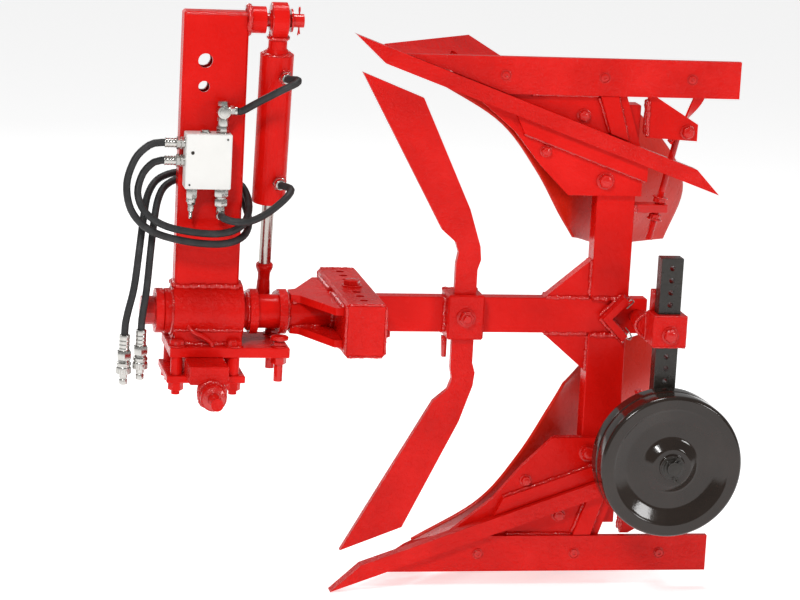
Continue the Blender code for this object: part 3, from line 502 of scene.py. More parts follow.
def circle(middle, direction, radius, count=40, start=0.0, sweep=2 * math.pi):
    """Points round a circle about a line; a part circle has a point at both its ends."""
    place = Matrix.Translation(middle) @ turn_to(direction)
    last = count if sweep < 2 * math.pi else count - 1
    turns = (start + sweep * k / count for k in range(last + 1))
    return [place @ Vector((radius * math.cos(t), radius * math.sin(t), 0)) for t in turns]


def catmull(route, steps=16):
    """Points along a smooth curve through a route's own points."""
    points = [Vector(p) for p in route]
    ends = [2 * points[0] - points[1]] + points + [2 * points[-1] - points[-2]]
    smooth = []
    for a, b, c, d in zip(ends, ends[1:], ends[2:], ends[3:]):
        for i in range(steps):
            t = i / steps
            smooth.append(
                0.5 * (2 * b + (c - a) * t + (2 * a - 5 * b + 4 * c - d) * t * t
                       + (3 * b - a - 3 * c + d) * t ** 3)
            )
    return smooth + [points[-1]]


# ---- hoses ----
HOSE_RADIUS = 0.0065
COUPLER_GAP = 0.0008            # between a supply hose's end and its coupler
# the routes of part.py's hoses, from the valve block on
UPPER_HOSE = (
    (0.0385, -0.0405, 0.362), (0.047, -0.0405, 0.362), (0.07, -0.056, 0.379),
    (0.11, -0.074, 0.405), (0.134, -0.073, 0.417), (0.138, -0.062, 0.421),
    (0.129, -0.051, 0.42), (0.1232, -0.043, 0.4191), (0.123, -0.0342, 0.4191),
)
LOWER_HOSE = (
    (0.0155, -0.0565, 0.18), (0.0155, -0.065, 0.18), (0.02, -0.08, 0.179),
    (0.038, -0.09, 0.1765), (0.065, -0.089, 0.179), (0.097, -0.076, 0.193),
    (0.127, -0.059, 0.214), (0.138, -0.043, 0.226), (0.13, -0.03, 0.229),
    (0.1232, -0.022, 0.2297), (0.123, -0.0136, 0.2297),
)
LEFT_SUPPLY = (
    (-0.086, -0.0405, 0.3045), (-0.098, -0.0405, 0.3045), (-0.116, -0.043, 0.297),
    (-0.137, -0.049, 0.275), (-0.15, -0.055, 0.232), (-0.14, -0.063, 0.186),
    (-0.105, -0.07, 0.154), (-0.045, -0.074, 0.138), (0.015, -0.072, 0.134),
    (0.052, -0.056, 0.142), (0.069, -0.023, 0.158), (0.069, 0.017, 0.181),
    (0.054, 0.045, 0.206), (0.013, 0.052, 0.225), (-0.04, 0.05, 0.238),
    (-0.082, 0.038, 0.229), (-0.104, 0.014, 0.206), (-0.114, -0.012, 0.168),
    (-0.122, -0.034, 0.115), (-0.13, -0.044, 0.05), (-0.14, -0.047, 0.005),
    (-0.144, -0.047, -0.02), (-0.144, -0.047, -0.033),
)
RIGHT_SUPPLY = (
    (-0.086, -0.0405, 0.2735), (-0.095, -0.0405, 0.2735), (-0.109, -0.044, 0.266),
    (-0.124, -0.051, 0.248), (-0.131, -0.059, 0.217), (-0.118, -0.067, 0.187),
    (-0.085, -0.071, 0.165), (-0.035, -0.072, 0.154), (0.015, -0.07, 0.152),
    (0.05, -0.057, 0.162), (0.0675, -0.027, 0.183), (0.0685, 0.011, 0.206),
    (0.055, 0.034, 0.223), (0.01, 0.035, 0.234), (-0.035, 0.034, 0.233),
    (-0.071, 0.024, 0.22), (-0.088, 0.002, 0.198), (-0.097, -0.022, 0.16),
    (-0.103, -0.038, 0.11), (-0.108, -0.045, 0.05), (-0.113, -0.047, 0.01),
    (-0.1155, -0.047, -0.011), (-0.1155, -0.047, -0.024),
)


def crimp(bm, start, direction, length, radius):
    """A crimped ferrule: a sleeve with three pressed grooves."""
    steps = [(HOSE_RADIUS * 0.9, 0.0), (radius, 0.0)]
    for k in range(3):
        low = length * (0.22 + 0.24 * k)
        steps += [(radius, low), (radius * 0.96, low + length * 0.04),
                  (radius * 0.96, low + length * 0.12), (radius, low + length * 0.16)]
    steps += [(radius, length), (HOSE_RADIUS * 0.9, length)]
    add_turned(bm, rounded(steps, 0.0006, 2), start, direction, 28)


def coupler(side, end):
    """A quick coupler: crimped tail, hexagon, knurled sliding sleeve and plug tip."""
    top = Vector(end) - Vector((0, 0, COUPLER_GAP))
    down = (0, 0, -1)
    bm = bmesh.new()
    crimp(bm, top, down, 0.0285, 0.0094)
    body = rounded([
        (0.006, 0.027), (0.008, 0.0275), (0.008, 0.0435), (0.0105, 0.044), (0.0105, 0.048),
        (0.0128, 0.049), (0.0128, 0.0535), (0.0118, 0.0545), (0.0118, 0.057), (0.0128, 0.058),
        (0.0128, 0.069), (0.01, 0.07), (0.0074, 0.0705), (0.0074, 0.076), (0.0064, 0.0768),
        (0.0064, 0.0792), (0.0074, 0.08), (0.0074, 0.087), (0.006, 0.0888), (0.0, 0.0888),
    ], 0.0006, 2)
    add_turned(bm, body, top, down, 36)
    place = Matrix.Translation(top) @ turn_to(down)
    add_hex(bm, place, 0.0134, 0.0285, 0.044, 0.08)
    for k in range(18):
        turn = 2 * math.pi * k / 18
        out = Vector((math.cos(turn), math.sin(turn), 0)) * 0.0127
        add_tube(bm, [top + out - Vector((0, 0, 0.0592)), top + out - Vector((0, 0, 0.0682))],
                 0.0007, 5)
    made = piece(side + "_quick_coupler", bm, "headstock", ZINC, 30)
    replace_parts(made, "coupler_" + side)
    return made


def supply_hose(side, route):
    """A free hose as one smooth curve."""
    smooth = catmull(route)
    points = evenly(smooth, 0.009)
    for end, after in ((0, 1), (-1, -2)):      # both ends leave their fittings straight
        start = Vector(route[end])
        points[after] = start + (Vector(route[after]) - start).normalized() * 0.004
    curve = bpy.data.curves.new(side + "_supply_hose", "CURVE")
    curve.dimensions = "3D"
    curve.bevel_depth = HOSE_RADIUS
    curve.bevel_resolution = 5
    curve.use_fill_caps = True
    spline = curve.splines.new("POLY")
    spline.points.add(len(points) - 1)
    for point, co in zip(spline.points, points):
        point.co = (*(co + UP), 1)
    made = bpy.data.objects.new(side + "_supply_hose", curve)
    bpy.context.scene.collection.objects.link(made)
    curve.materials.append(RUBBER)
    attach(made, "headstock")
    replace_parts(made, "supply_hose_" + side)


left_plug = coupler("left", LEFT_SUPPLY[-1])
right_plug = coupler("right", RIGHT_SUPPLY[-1])
supply_hose("left", LEFT_SUPPLY)
supply_hose("right", RIGHT_SUPPLY)


def cylinder_hose(name, node, route):
    """A short hose from the valve block to the barrel, on no body, with its port nut on the
    barrel.
    """
    bm = bmesh.new()
    add_tube(bm, evenly(catmull(route), 0.006), HOSE_RADIUS, 16)
    made = piece(name, bm, None, RUBBER, 60)
    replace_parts(made, node)
    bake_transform(made)
    nut = bmesh.new()
    port = Vector(route[-1])
    add_hex(nut, Matrix.Translation(port) @ turn_to(NEAR), 0.0128, -0.0125, -0.003)
    barb = rounded([(0.0, -0.004), (0.0088, -0.004), (0.0088, 0.0085), (0.0, 0.0085)], 0.001)
    add_turned(nut, barb, port, NEAR, 24)
    piece(name + "_port_nut", nut, "cylinder_barrel", ZINC)


cylinder_hose("upper_ram_hose", "upper_cylinder_hose", UPPER_HOSE)
cylinder_hose("lower_ram_hose", "lower_cylinder_hose", LOWER_HOSE)

# ---- valve block ----
BLOCK_X, BLOCK_Y, BLOCK_Z = (-0.05, 0.0295), (-0.0605, -0.0205), (0.227, 0.323)
FITTING_Y = -0.0405             # the middle plane of the block's ports

bm = bmesh.new()
add_box(bm, BLOCK_X, BLOCK_Y, BLOCK_Z, 0.0012, 3)
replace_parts(piece("valve_body", bm, "headstock", WHITE), "valve_block")

# Three small holes in the block's near face: their rims and insets take the near-black leg paint,
# as painted shade of the holes' dark insides.
bm = bmesh.new()
for x, z, radius in ((-0.0385, 0.2905, 0.0031), (0.0215, 0.3145, 0.0018),
                     (-0.0425, 0.2345, 0.0018)):
    at = (x, BLOCK_Y[0], z)
    rim = [(radius, 0.0), (radius, 0.0006), (radius * 0.6, 0.0006), (radius * 0.6, -0.001)]
    add_loop(bm, rim, at, NEAR, 20)
    add_turned(bm, [(radius * 0.62, 0.0003), (0.0, 0.0003)], at, NEAR, 12)
piece("valve_body_holes_painted_shade", bm, "headstock", BLACK_LEG)


def add_fitting(bm, at, direction, steps):
    """A row of hexagons and sleeves along one line, as (kind, low, high, radius)."""
    place = Matrix.Translation(at) @ turn_to(direction)
    for kind, low, high, radius in steps:
        if kind == "hex":
            add_hex(bm, place, radius, low, high, 0.1)
        else:
            add_turned(bm, rounded([(0.0, low), (radius, low), (radius, high), (0.0, high)],
                                   0.0008), at, direction, 28)


PRESSURE_PORT, PLUG_PORT = 0.0145, -0.036      # X of the fittings over and under the block
bm = bmesh.new()
for at, direction, steps in (
    ((PRESSURE_PORT, FITTING_Y, 0.3225), (0, 0, 1), (
        ("round", 0.0, 0.002, 0.0115), ("hex", 0.002, 0.0135, 0.0108),
        ("round", 0.013, 0.027, 0.0096), ("hex", 0.021, 0.029, 0.0104),
    )),
    ((PRESSURE_PORT, FITTING_Y - 0.0125, 0.3605), FAR, (
        ("round", 0.0, 0.025, 0.0114), ("round", -0.003, 0.001, 0.008),
    )),
    ((PRESSURE_PORT, FITTING_Y, 0.37), (0, 0, 1), (("hex", 0.0, 0.009, 0.0098),)),
    ((0.015, FITTING_Y, 0.362), (1, 0, 0), (
        ("round", 0.0, 0.013, 0.0072), ("hex", 0.011, 0.019, 0.009),
        ("round", 0.0185, 0.023, 0.0082),
    )),
    ((-0.015, FITTING_Y, 0.3225), (0, 0, 1), (
        ("round", 0.0, 0.0025, 0.0095), ("hex", 0.0025, 0.006, 0.007),
    )),
    ((PLUG_PORT, FITTING_Y, 0.2275), (0, 0, -1), (
        ("round", 0.0, 0.002, 0.0112), ("hex", 0.002, 0.02, 0.0104),
        ("round", 0.0195, 0.026, 0.0088), ("hex", 0.0245, 0.031, 0.0078),
        ("round", 0.03, 0.042, 0.0054),
    )),
    ((0.0155, FITTING_Y, 0.2275), (0, 0, -1), (
        ("round", 0.0, 0.002, 0.0138), ("hex", 0.002, 0.016, 0.0134),
        ("round", 0.0155, 0.02, 0.0095), ("hex", 0.0195, 0.033, 0.0122),
        ("round", 0.0325, 0.054, 0.008),
    )),
    ((0.0155, FITTING_Y, 0.18), NEAR, (
        ("round", 0.0, 0.0155, 0.0076), ("hex", 0.006, 0.0125, 0.0094),
    )),
):
    add_fitting(bm, at, direction, steps)
add_thread(bm, Vector((PLUG_PORT, FITTING_Y, 0.188)), (0, 0, -1), 0.0036, 0.016)
for z in (LEFT_SUPPLY[0][2], RIGHT_SUPPLY[0][2]):
    start = Vector((BLOCK_X[0], FITTING_Y, z))
    add_fitting(bm, start, (-1, 0, 0), (
        ("round", 0.0, 0.003, 0.0098), ("hex", 0.003, 0.0075, 0.0112),
        ("round", 0.007, 0.0095, 0.009), ("hex", 0.009, 0.015, 0.0118),
    ))
    crimp(bm, start + Vector((-0.015, 0, 0)), (-1, 0, 0), 0.0208, 0.0084)
piece("valve_fittings", bm, "headstock", ZINC, 30)

# ---- cylinder ----
CYLINDER_X, TOP_PIN_Z, CRANK_RADIUS = 0.111, 0.516, 0.056
TILT = math.atan2(CRANK_RADIUS, TOP_PIN_Z)
BARREL_RADIUS = 0.0295
DOWN_CYLINDER = Vector((0, math.sin(TILT), -math.cos(TILT)))


def along_cylinder(distance, x=CYLINDER_X, across=0.0):
    """A point on the cylinder's line at a distance below the top pin."""
    y = distance * math.sin(TILT) + across * math.cos(TILT)
    z = TOP_PIN_Z - distance * math.cos(TILT) + across * math.sin(TILT)
    return Vector((x, y, z))


TOP = along_cylinder(0.0)
bm = bmesh.new()
rod = rounded([(0.0, 0.262), (0.0105, 0.2625), (0.011, 0.264), (0.011, 0.446), (0.0, 0.446)],
              0.0008)
add_turned(bm, rod, TOP, DOWN_CYLINDER, 40)
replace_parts(piece("piston_rod", bm, "cylinder_rod", CHROME), "cylinder_rod")

bm = bmesh.new()
shank = rounded([
    (0.0, 0.44), (0.0125, 0.4402), (0.0152, 0.443), (0.0156, 0.448), (0.0138, 0.453),
    (0.0112, 0.459), (0.0106, 0.468), (0.0118, 0.48), (0.0128, 0.5), (0.0, 0.5),
], 0.003)
add_turned(bm, shank, TOP, DOWN_CYLINDER, 32)
eye = rounded([
    (0.0125, 0.0), (0.0125, 0.0125), (0.0195, 0.0125), (0.0218, 0.0105), (0.0218, 0.0),
    (0.0218, -0.0105), (0.0195, -0.0125), (0.0125, -0.0125), (0.0125, 0.0),
], 0.0012, 2)
add_loop(bm, eye[:-1], along_cylinder(math.hypot(CRANK_RADIUS, TOP_PIN_Z)), (1, 0, 0), 44)
piece("piston_rod_eye", bm, "cylinder_rod", RED_ROUGH)

bm = bmesh.new()
gland = rounded([
    (0.0118, 0.319), (0.025, 0.319), (0.0297, 0.3192), (0.0297, 0.3262), (0.0285, 0.3275),
    (0.018, 0.3275), (0.0172, 0.3292), (0.0136, 0.3292), (0.0118, 0.3275),
], 0.0007, 2)
add_loop(bm, gland, TOP, DOWN_CYLINDER, 48)
piece("cylinder_gland", bm, "cylinder_barrel", RED)

bm = bmesh.new()
add_weld(bm, circle(along_cylinder(0.0608), DOWN_CYLINDER, 0.0225), 0.0042, True)
add_weld(bm, circle(along_cylinder(0.03), DOWN_CYLINDER, 0.0172, 30), 0.003, True)
for distance in (0.0975, 0.288):
    middle = along_cylinder(distance, 0.123) - Vector((0, BARREL_RADIUS - 0.0035, 0))
    add_weld(bm, circle(middle, NEAR, 0.0108, 28), 0.003, True)
for side in (-1, 1):
    cheek = rounded([(0.013, 0.0), (0.03, 0.0), (0.0285, 0.0018), (0.02, 0.0024),
                     (0.0185, 0.0042), (0.013, 0.0042)], 0.0008, 2)
    start = Vector((CYLINDER_X + side * 0.013, 0, TOP_PIN_Z))
    add_turned(bm, cheek, start, (side, 0, 0), 40)
piece("cylinder_barrel_welds", bm, "cylinder_barrel", RED_WELD, 60)

PIN_END = Vector((0.146, 0.0, TOP_PIN_Z))      # where the cotter goes through the top pin
bm = bmesh.new()
loop = [
    PIN_END + Vector((0.0, y, z)) for y, z in (
        (0.0, -0.013), (0.0, 0.013), (-0.0035, 0.0175), (-0.002, 0.023),
        (0.003, 0.0225), (0.004, 0.0175), (0.0012, 0.013),
    )
]
add_tube(bm, catmull(loop, 6), 0.0014, 8)
for lean in (-1, 1):
    leg = [PIN_END + Vector((0.001 * x * lean, 0.001 * y * lean, z))
           for x, y, z in ((0, 0, -0.012), (1, 3, -0.017), (3, 8.5, -0.0235))]
    add_tube(bm, catmull(leg, 6), 0.0013, 8)
piece("top_pin_cotter", bm, "headstock", RED_BOLT, 60)

# ---- headstock welds, saddle and lever ----
HALF_POST, HALF_DEEP = 0.0565, 0.02
POST_FOOT, POST_TOP = 0.0478, 0.5265
bm = bmesh.new()
for side in (-1, 1):
    x, y = side * (HALF_POST + 0.0008), side * (HALF_DEEP + 0.001)
    rim_y, rim_x = side * (HALF_DEEP - 0.0006), HALF_POST - 0.003
    add_welds(
        bm,
        (0.0045, (-HALF_POST, y, POST_FOOT), (HALF_POST, y, POST_FOOT)),
        (0.0045, (x, -HALF_DEEP, POST_FOOT), (x, 0, 0.0515), (x, HALF_DEEP, POST_FOOT)),
        (0.002, (-rim_x, rim_y, POST_TOP), (rim_x, rim_y, POST_TOP)),
    )
eye = circle((HALF_POST + 0.0012, 0, TOP_PIN_Z), (1, 0, 0), 0.0238, 36, math.pi * 0.62,
             math.pi * 1.56)
add_weld(bm, eye, 0.0042)
piece("post_welds", bm, "headstock", RED_WELD, 60)

bm = bmesh.new()
for y_side in (-1, 1):
    add_plate(bm, [(-0.0565, -0.0518), (0.0625, -0.0518), (0.0625, -0.025), (-0.0565, -0.025)],
              *sorted((y_side * 0.033, y_side * 0.044)), 0.0015)
piece("housing_saddle", bm, "headstock", RED)

bm = bmesh.new()
for y_side in (-1, 1):
    add_welds(
        bm,
        (0.0042, (-0.057, y_side * 0.045, -0.05), (0.063, y_side * 0.045, -0.05)),
        (0.003, (-0.057, y_side * 0.0425, -0.0262), (0.063, y_side * 0.0425, -0.0262)),
    )
add_weld(bm, circle((-0.0592, 0, 0), (1, 0, 0), 0.0402, 60), 0.0026, True)
piece("housing_welds", bm, "headstock", RED_WELD, 60)

bm = bmesh.new()
lever = [(-0.033, -0.044, -0.018), (-0.025, -0.052, -0.027), (-0.008, -0.056, -0.035),
         (0.005, -0.0575, -0.044), (0.0085, -0.058, -0.0515)]
add_tube(bm, catmull(lever, 8), 0.004, 14)
piece("lock_lever", bm, "headstock", RED_BOLT, 60)

bm = bmesh.new()
for x in (-0.0525, 0.048):
    for y_side in (-1, 1):
        add_bolt(bm, (x, y_side * 0.052, -0.0515), (0, 0, 1), 0.0134, 0.0096, 0.002)
piece("base_plate_bolt_heads", bm, "headstock", RED_BOLT, 30)

bm = bmesh.new()
collar = rounded([(0.0112, 0.0), (0.0205, 0.0), (0.0205, 0.0016), (0.012, 0.0045),
                  (0.0112, 0.0045)], 0.0008, 2)
for y_side in (-1, 1):
    add_turned(bm, collar, (0, y_side * 0.165, -ROLL_Z), (0, y_side, 0), 32)
    boss = (0, y_side * 0.1375, -ROLL_Z + 0.0004)
    add_weld(bm, circle(boss, (0, 1, 0), 0.0228, 36), 0.0036, True)
piece("hitch_pin_welds", bm, "headstock", RED_WELD, 60)

bm = bmesh.new()
head = rounded([(0.0, 0.0075), (0.008, 0.0075), (0.008, 0.011), (0.0122, 0.0115),
                (0.016, 0.0125), (0.016, 0.0172), (0.014, 0.019), (0.0, 0.0192)], 0.001, 2)
for y_side in (-1, 1):
    add_bolt(bm, (0.128, y_side * 0.05, -0.0517), (0, 0, 1), 0.0124, 0.0065, 0.0018)
    add_turned(bm, head, (0.128, y_side * 0.05, -0.052), (0, 0, 1), 32)
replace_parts(piece("stop_bolt_heads", bm, "headstock", RED_BOLT, 30),
            "stop_bolt_near", "stop_bolt_far")

# ---- cross box and gussets ----
BOX_FRONT, BOX_BACK, BOX_TOP = 0.226, 0.2975, 0.047
BEAM_BOLT = (0.2618, 0.002)     # X and Y of the bolt that holds the beam in the box
bm = bmesh.new()
add_bolt(bm, (*BEAM_BOLT, BOX_TOP), (0, 0, 1), 0.015, 0.0095, 0.0026)
add_bolt(bm, (*BEAM_BOLT, -BOX_TOP), (0, 0, -1), 0.015, 0.012, 0.0026, 0.008)
for y_side in (-1, 1):
    add_bolt(bm, (BOX_BACK, y_side * 0.086, -0.02), (1, 0, 0), 0.0125, 0.011, 0.0026, 0.007)
piece("cross_box_bolts", bm, "turnover", RED_BOLT, 30)

front, rear = BOX_FRONT - 0.001, BOX_BACK + 0.001
bm = bmesh.new()
for side in (-1, 1):
    z = side * 0.036
    for y_side in (-1, 1):
        y = y_side * 0.0225
        add_welds(
            bm,
            (0.0042, (front, y_side * 0.012, z), (front, y_side * 0.128, z)),
            (0.0034, (0.152, y, side * 0.022), (0.205, y, side * 0.0215)),
        )
    y, z = side * 0.0155, side * 0.0328
    add_welds(
        bm,
        (0.0038, (rear, y, -0.031), (rear, y, 0.031)),
        (0.0036, (rear, -0.014, z), (rear, 0.014, z)),
    )
    for end in (-0.1535, 0.1565):
        rim_x = BOX_FRONT + 0.001 if side < 0 else BOX_BACK - 0.001
        rim_z = side * 0.0462
        add_welds(
            bm,
            (0.0022, (BOX_FRONT + 0.004, end, rim_z), (BOX_BACK - 0.004, end, rim_z)),
            (0.0022, (rim_x, end, -0.042), (rim_x, end, 0.042)),
        )
add_weld(bm, circle((BOX_FRONT - 0.0012, 0, 0), (1, 0, 0), 0.0308, 44), 0.0048, True)
for x in (0.0762, 0.1462):
    add_weld(bm, circle((x, 0, 0), (1, 0, 0), 0.0306, 44), 0.003, True)
piece("cross_box_welds", bm, "turnover", RED_WELD, 60)

# ---- beam, coulters and shanks ----
bm = bmesh.new()
add_bolt(bm, (0.463, -0.0408, 0.0), NEAR, 0.0142, 0.0098, 0.0026, 0.006, 0.2)
piece("coulter_clamp_bolt", bm, "turnover", RED_BOLT, 30)

bm = bmesh.new()
add_welds(
    bm,
    (0.004, (0.429, -0.015, -0.031), (0.429, -0.015, 0.031)),
    (0.0026, (0.43, 0.024, -0.0392), (0.496, 0.024, -0.0392)),
    (0.0026, (0.43, 0.024, 0.0392), (0.496, 0.024, 0.0392)),
)
add_plate(bm, [(0.4275, -0.0405), (0.4375, -0.0405), (0.4375, -0.079), (0.429, -0.079)],
          -0.01, 0.002, 0.001)
piece("coulter_clamp_welds", bm, "turnover", RED_WELD, 60)

SHANK_FRONT, SHANK_BACK, SHANK_DEEP = 0.695, 0.765, 0.019


def shank_welds(bm):
    """Welds of the shank to the beam, its knee gusset, the frog and the rear arm."""
    front, rear = SHANK_FRONT - 0.001, SHANK_BACK + 0.001
    for side in (-1, 1):
        near, gusset, arm = side * (SHANK_DEEP + 0.0004), side * 0.0128, side * 0.0158
        add_welds(
            bm,
            (0.0042, (SHANK_FRONT + 0.001, near, -0.0335), (SHANK_BACK - 0.001, near, -0.0335)),
            (0.0034, (0.613, gusset, -0.0332), (SHANK_FRONT - 0.002, gusset, -0.0332)),
            (0.0034, (front, gusset, -0.036), (front, gusset, -0.101)),
            (0.0036, (rear, arm, -0.1905), (rear, arm, -0.204)),
        )
    add_welds(
        bm,
        (0.004, (SHANK_BACK + 0.0006, -0.0135, -0.0328), (SHANK_BACK + 0.0006, 0.0135, -0.0328)),
        (0.0028, (0.642, -0.02, -0.2235), (0.6945, -0.02, -0.2235)),
        (0.003, (0.6945, -0.0204, -0.226), (0.6945, -0.0204, -0.2215)),
        (0.0036, (0.7655, -0.019, -0.226), (0.7725, -0.02, -0.286)),
        (0.0034, (0.776, -0.0188, -0.401), (0.789, -0.0188, -0.401)),
        (0.0034, (0.7745, -0.0316, -0.332), (0.7745, -0.0316, -0.396)),
        (0.0034, (0.7745, -0.019, -0.332), (0.7745, -0.019, -0.396)),
    )


both_bodies(shank_welds, RED_WELD, 60)

POINT_TIP, POINT_ANGLE = (0.239, -0.502), math.radians(19.8)
FROG_NEAR, FROG_FAR = -0.0313, -0.019
LANDSIDE_NEAR = -0.0436
LANDSIDE_MIDDLE = -0.436        # height of the landside's bolts
REAR_FROG_BOLT = (0.704, -0.25)
REAR_ARM_BOLT = (0.849, -0.34)


def bar_place(along, across):
    """X and Z of a point in the bar point's own directions, from its tip."""
    return (
        POINT_TIP[0] + along * math.cos(POINT_ANGLE) - across * math.sin(POINT_ANGLE),
        POINT_TIP[1] + along * math.sin(POINT_ANGLE) + across * math.cos(POINT_ANGLE),
    )


def countersunk(bm, x, z, far):
    """A plough bolt's flush head with its locating key, and the nut behind."""
    head = [(0.0102, -0.0006), (0.0102, 0.0013), (0.0094, 0.0016), (0.0086, 0.0012),
            (0.0084, 0.0001), (0.0076, 0.0001), (0.0074, 0.0016), (0.0064, 0.0024),
            (0.0036, 0.0027), (0.0028, 0.0022), (0.0026, 0.001), (0.0, 0.0008)]
    add_turned(bm, head, (x, LANDSIDE_NEAR, z), NEAR, 32)
    add_bolt(bm, (x, far, z), FAR, 0.0094, 0.0078, 0.0018, 0.0045)


def body_bolts(bm):
    """Bolts of the landside, the frog and the rear arm."""
    for x, far in ((0.509, FROG_FAR), (0.688, FROG_FAR), (0.848, -0.0316)):
        countersunk(bm, x, LANDSIDE_MIDDLE, far)
    x, z = REAR_FROG_BOLT
    add_bolt(bm, (x, FROG_NEAR, z), NEAR, 0.0132, 0.009, 0.0026)
    add_bolt(bm, (x, SHANK_DEEP, z), FAR, 0.0132, 0.01, 0.0026, 0.006)
    for x, z, radius in ((0.657, -0.3665, 0.0104), (0.592, -0.3015, 0.0092)):
        add_bolt(bm, (x, FROG_NEAR, z), NEAR, radius, 0.0075, 0.002)
        add_bolt(bm, (x, FROG_FAR, z), FAR, radius, 0.007, 0.0018, 0.003)
    x, z = REAR_ARM_BOLT
    add_bolt(bm, (x, FROG_NEAR, z), NEAR, 0.0112, 0.008, 0.0022)
    add_bolt(bm, (x, 0.01, z), FAR, 0.0112, 0.008, 0.0022, 0.004)


both_bodies(body_bolts, RED_BOLT, 30)


def landside_strut(bm):
    """A flat brace from the landside up to the bar point."""
    outline = [(0.684, -0.4026), (0.717, -0.4026), (0.7405, -0.3228), (0.7065, -0.335)]
    add_plate(bm, outline, -0.042, FROG_NEAR - 0.0002, 0.0012)


both_bodies(landside_strut, RED)


def heel_strap(bm):
    """A flat strap from the landside's heel to the rear arm, twisted a quarter turn."""
    route = [(0.868, -0.029, -0.434), (0.868, -0.029, -0.406), (0.85, -0.023, -0.368),
             (0.83, -0.017, -0.332), (0.822, -0.015, -0.318)]
    line = evenly(catmull(route, 10), 0.004)
    half, deep = 0.0095, 0.0019
    rings = []
    for i, point in enumerate(line):
        t = i / (len(line) - 1)
        twist = math.pi / 2 * min(1.0, max(0.0, (t - 0.25) / 0.5))
        along = (line[min(i + 1, len(line) - 1)] - line[max(i - 1, 0)]).normalized()
        flat = Vector((1, 0, 0)) - along * along.x
        wide = (Matrix.Rotation(twist, 3, along) @ flat.normalized()).normalized()
        thick = along.cross(wide).normalized()
        rings.append([
            bm.verts.new(point + wide * half * a + thick * deep * b)
            for a, b in ((-1, -1), (1, -1), (1, 1), (-1, 1))
        ])
    add_ring_walls(bm, rings)
    bm.faces.new(rings[0][::-1])
    bm.faces.new(rings[-1])


both_bodies(heel_strap, RED, 50)


def frog_welds(bm):
    """Welds along the bar clip, round the strut and along the landside."""
    (clip_x, clip_z), (clip_end_x, clip_end_z) = bar_place(0.35, 0.0545), bar_place(0.592, 0.0545)
    add_welds(
        bm,
        (0.003, (clip_x, -0.0335, clip_z), (clip_end_x, -0.0335, clip_end_z)),
        (0.0028, (0.56, -0.0334, -0.4015), (0.682, -0.0334, -0.4015)),
        (0.003, (0.683, -0.033, -0.4), (0.7055, -0.033, -0.3365)),
        (0.003, (0.718, -0.033, -0.4), (0.74, -0.033, -0.3265)),
        (0.003, (0.402, -0.0186, -0.454), (0.714, -0.0186, -0.454)),
    )


both_bodies(frog_welds, RED_WELD, 60)

# the moldboard's edges, as part.py has them: points from its foot up and from shin to tail
SHIN = (
    (0.392, -0.004, -0.42), (0.512, 0.000, -0.349), (0.584, 0.004, -0.263),
    (0.635, 0.01, -0.18), (0.668, 0.03, -0.135),
)
TAIL = (
    (0.68, 0.235, -0.42), (0.81, 0.262, -0.35), (0.905, 0.284, -0.262),
    (0.943, 0.292, -0.183), (0.905, 0.272, -0.088),
)
LOW_EDGE = (SHIN[0], (0.52, 0.108, -0.428), TAIL[0])
HIGH_EDGE = (SHIN[-1], (0.758, 0.148, -0.102), TAIL[-1])
HOLLOW = Vector((0.026, -0.03, 0.0))
CORNERS = [Vector(p) for p in (SHIN[0], TAIL[0], SHIN[-1], TAIL[-1])]


def curve_through(points, t):
    """A point at a share t of a smooth curve through a few points."""
    smooth = catmull(points, 12)
    reach = t * (len(smooth) - 1)
    low = min(int(reach), len(smooth) - 2)
    return smooth[low].lerp(smooth[low + 1], reach - low)


def sheet_point(u, v):
    """A point of the moldboard, u from shin to tail and v from its foot to its top."""
    sides = curve_through(SHIN, v).lerp(curve_through(TAIL, v), u)
    edges = curve_through(LOW_EDGE, u).lerp(curve_through(HIGH_EDGE, u), v)
    flat = CORNERS[0].lerp(CORNERS[1], u).lerp(CORNERS[2].lerp(CORNERS[3], u), v)
    return sides + edges - flat + HOLLOW * math.sin(math.pi * u) * math.sin(math.pi * v)


def sheet_normal(u, v):
    """The moldboard's normal towards the furrow."""
    step = 0.01
    across = sheet_point(u + step, v) - sheet_point(u - step, v)
    rise = sheet_point(u, v + step) - sheet_point(u, v - step)
    normal = across.cross(rise).normalized()
    return normal if normal.x < 0 else -normal


ACROSS, RISE = 40, 30
for prefix, flip in (("lower_", 1), ("upper_", -1)):
    bm = bmesh.new()
    rows = [
        [bm.verts.new(Vector((1, 1, flip)) * sheet_point(i / ACROSS, j / RISE))
         for i in range(ACROSS + 1)]
        for j in range(RISE + 1)
    ]
    for low, high in zip(rows, rows[1:]):
        for i in range(ACROSS):
            bm.faces.new((low[i], low[i + 1], high[i + 1], high[i]))
    sheet = piece(prefix + "moldboard_sheet", bm, "turnover", RED_SHEET, 40)
    solidify = sheet.modifiers.new("thickness", "SOLIDIFY")
    solidify.thickness, solidify.offset = 0.006, 0.0
    edge = sheet.modifiers.new("edge", "BEVEL")
    edge.width, edge.segments = 0.0012, 2
    edge.limit_method, edge.angle_limit = "ANGLE", math.radians(50)
    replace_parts(sheet, prefix + "moldboard")

SHARE = [
    Vector(p) for p in ((0.296, -0.014, -0.482), (0.49, 0.19, -0.476), (0.56, 0.208, -0.4345),
                        (0.383, -0.008, -0.4345))
]


def soil_bolts(bm):
    """Flush round heads on the soil side of the moldboard and the share."""
    head = [(0.0092, -0.003), (0.009, 0.0006), (0.007, 0.0013), (0.0, 0.0017)]
    for u, v in ((0.09, 0.14), (0.09, 0.42), (0.1, 0.7), (0.3, 0.22), (0.32, 0.62)):
        normal = sheet_normal(u, v)
        add_turned(bm, head, sheet_point(u, v) + normal * 0.003, normal, 28)
    normal = (SHARE[1] - SHARE[0]).cross(SHARE[3] - SHARE[0]).normalized()
    normal = normal if normal.z > 0 else -normal
    for t in (0.22, 0.5):
        at = SHARE[0].lerp(SHARE[1], t).lerp(SHARE[3].lerp(SHARE[2], t), 0.66)
        add_turned(bm, head, at, normal, 28)


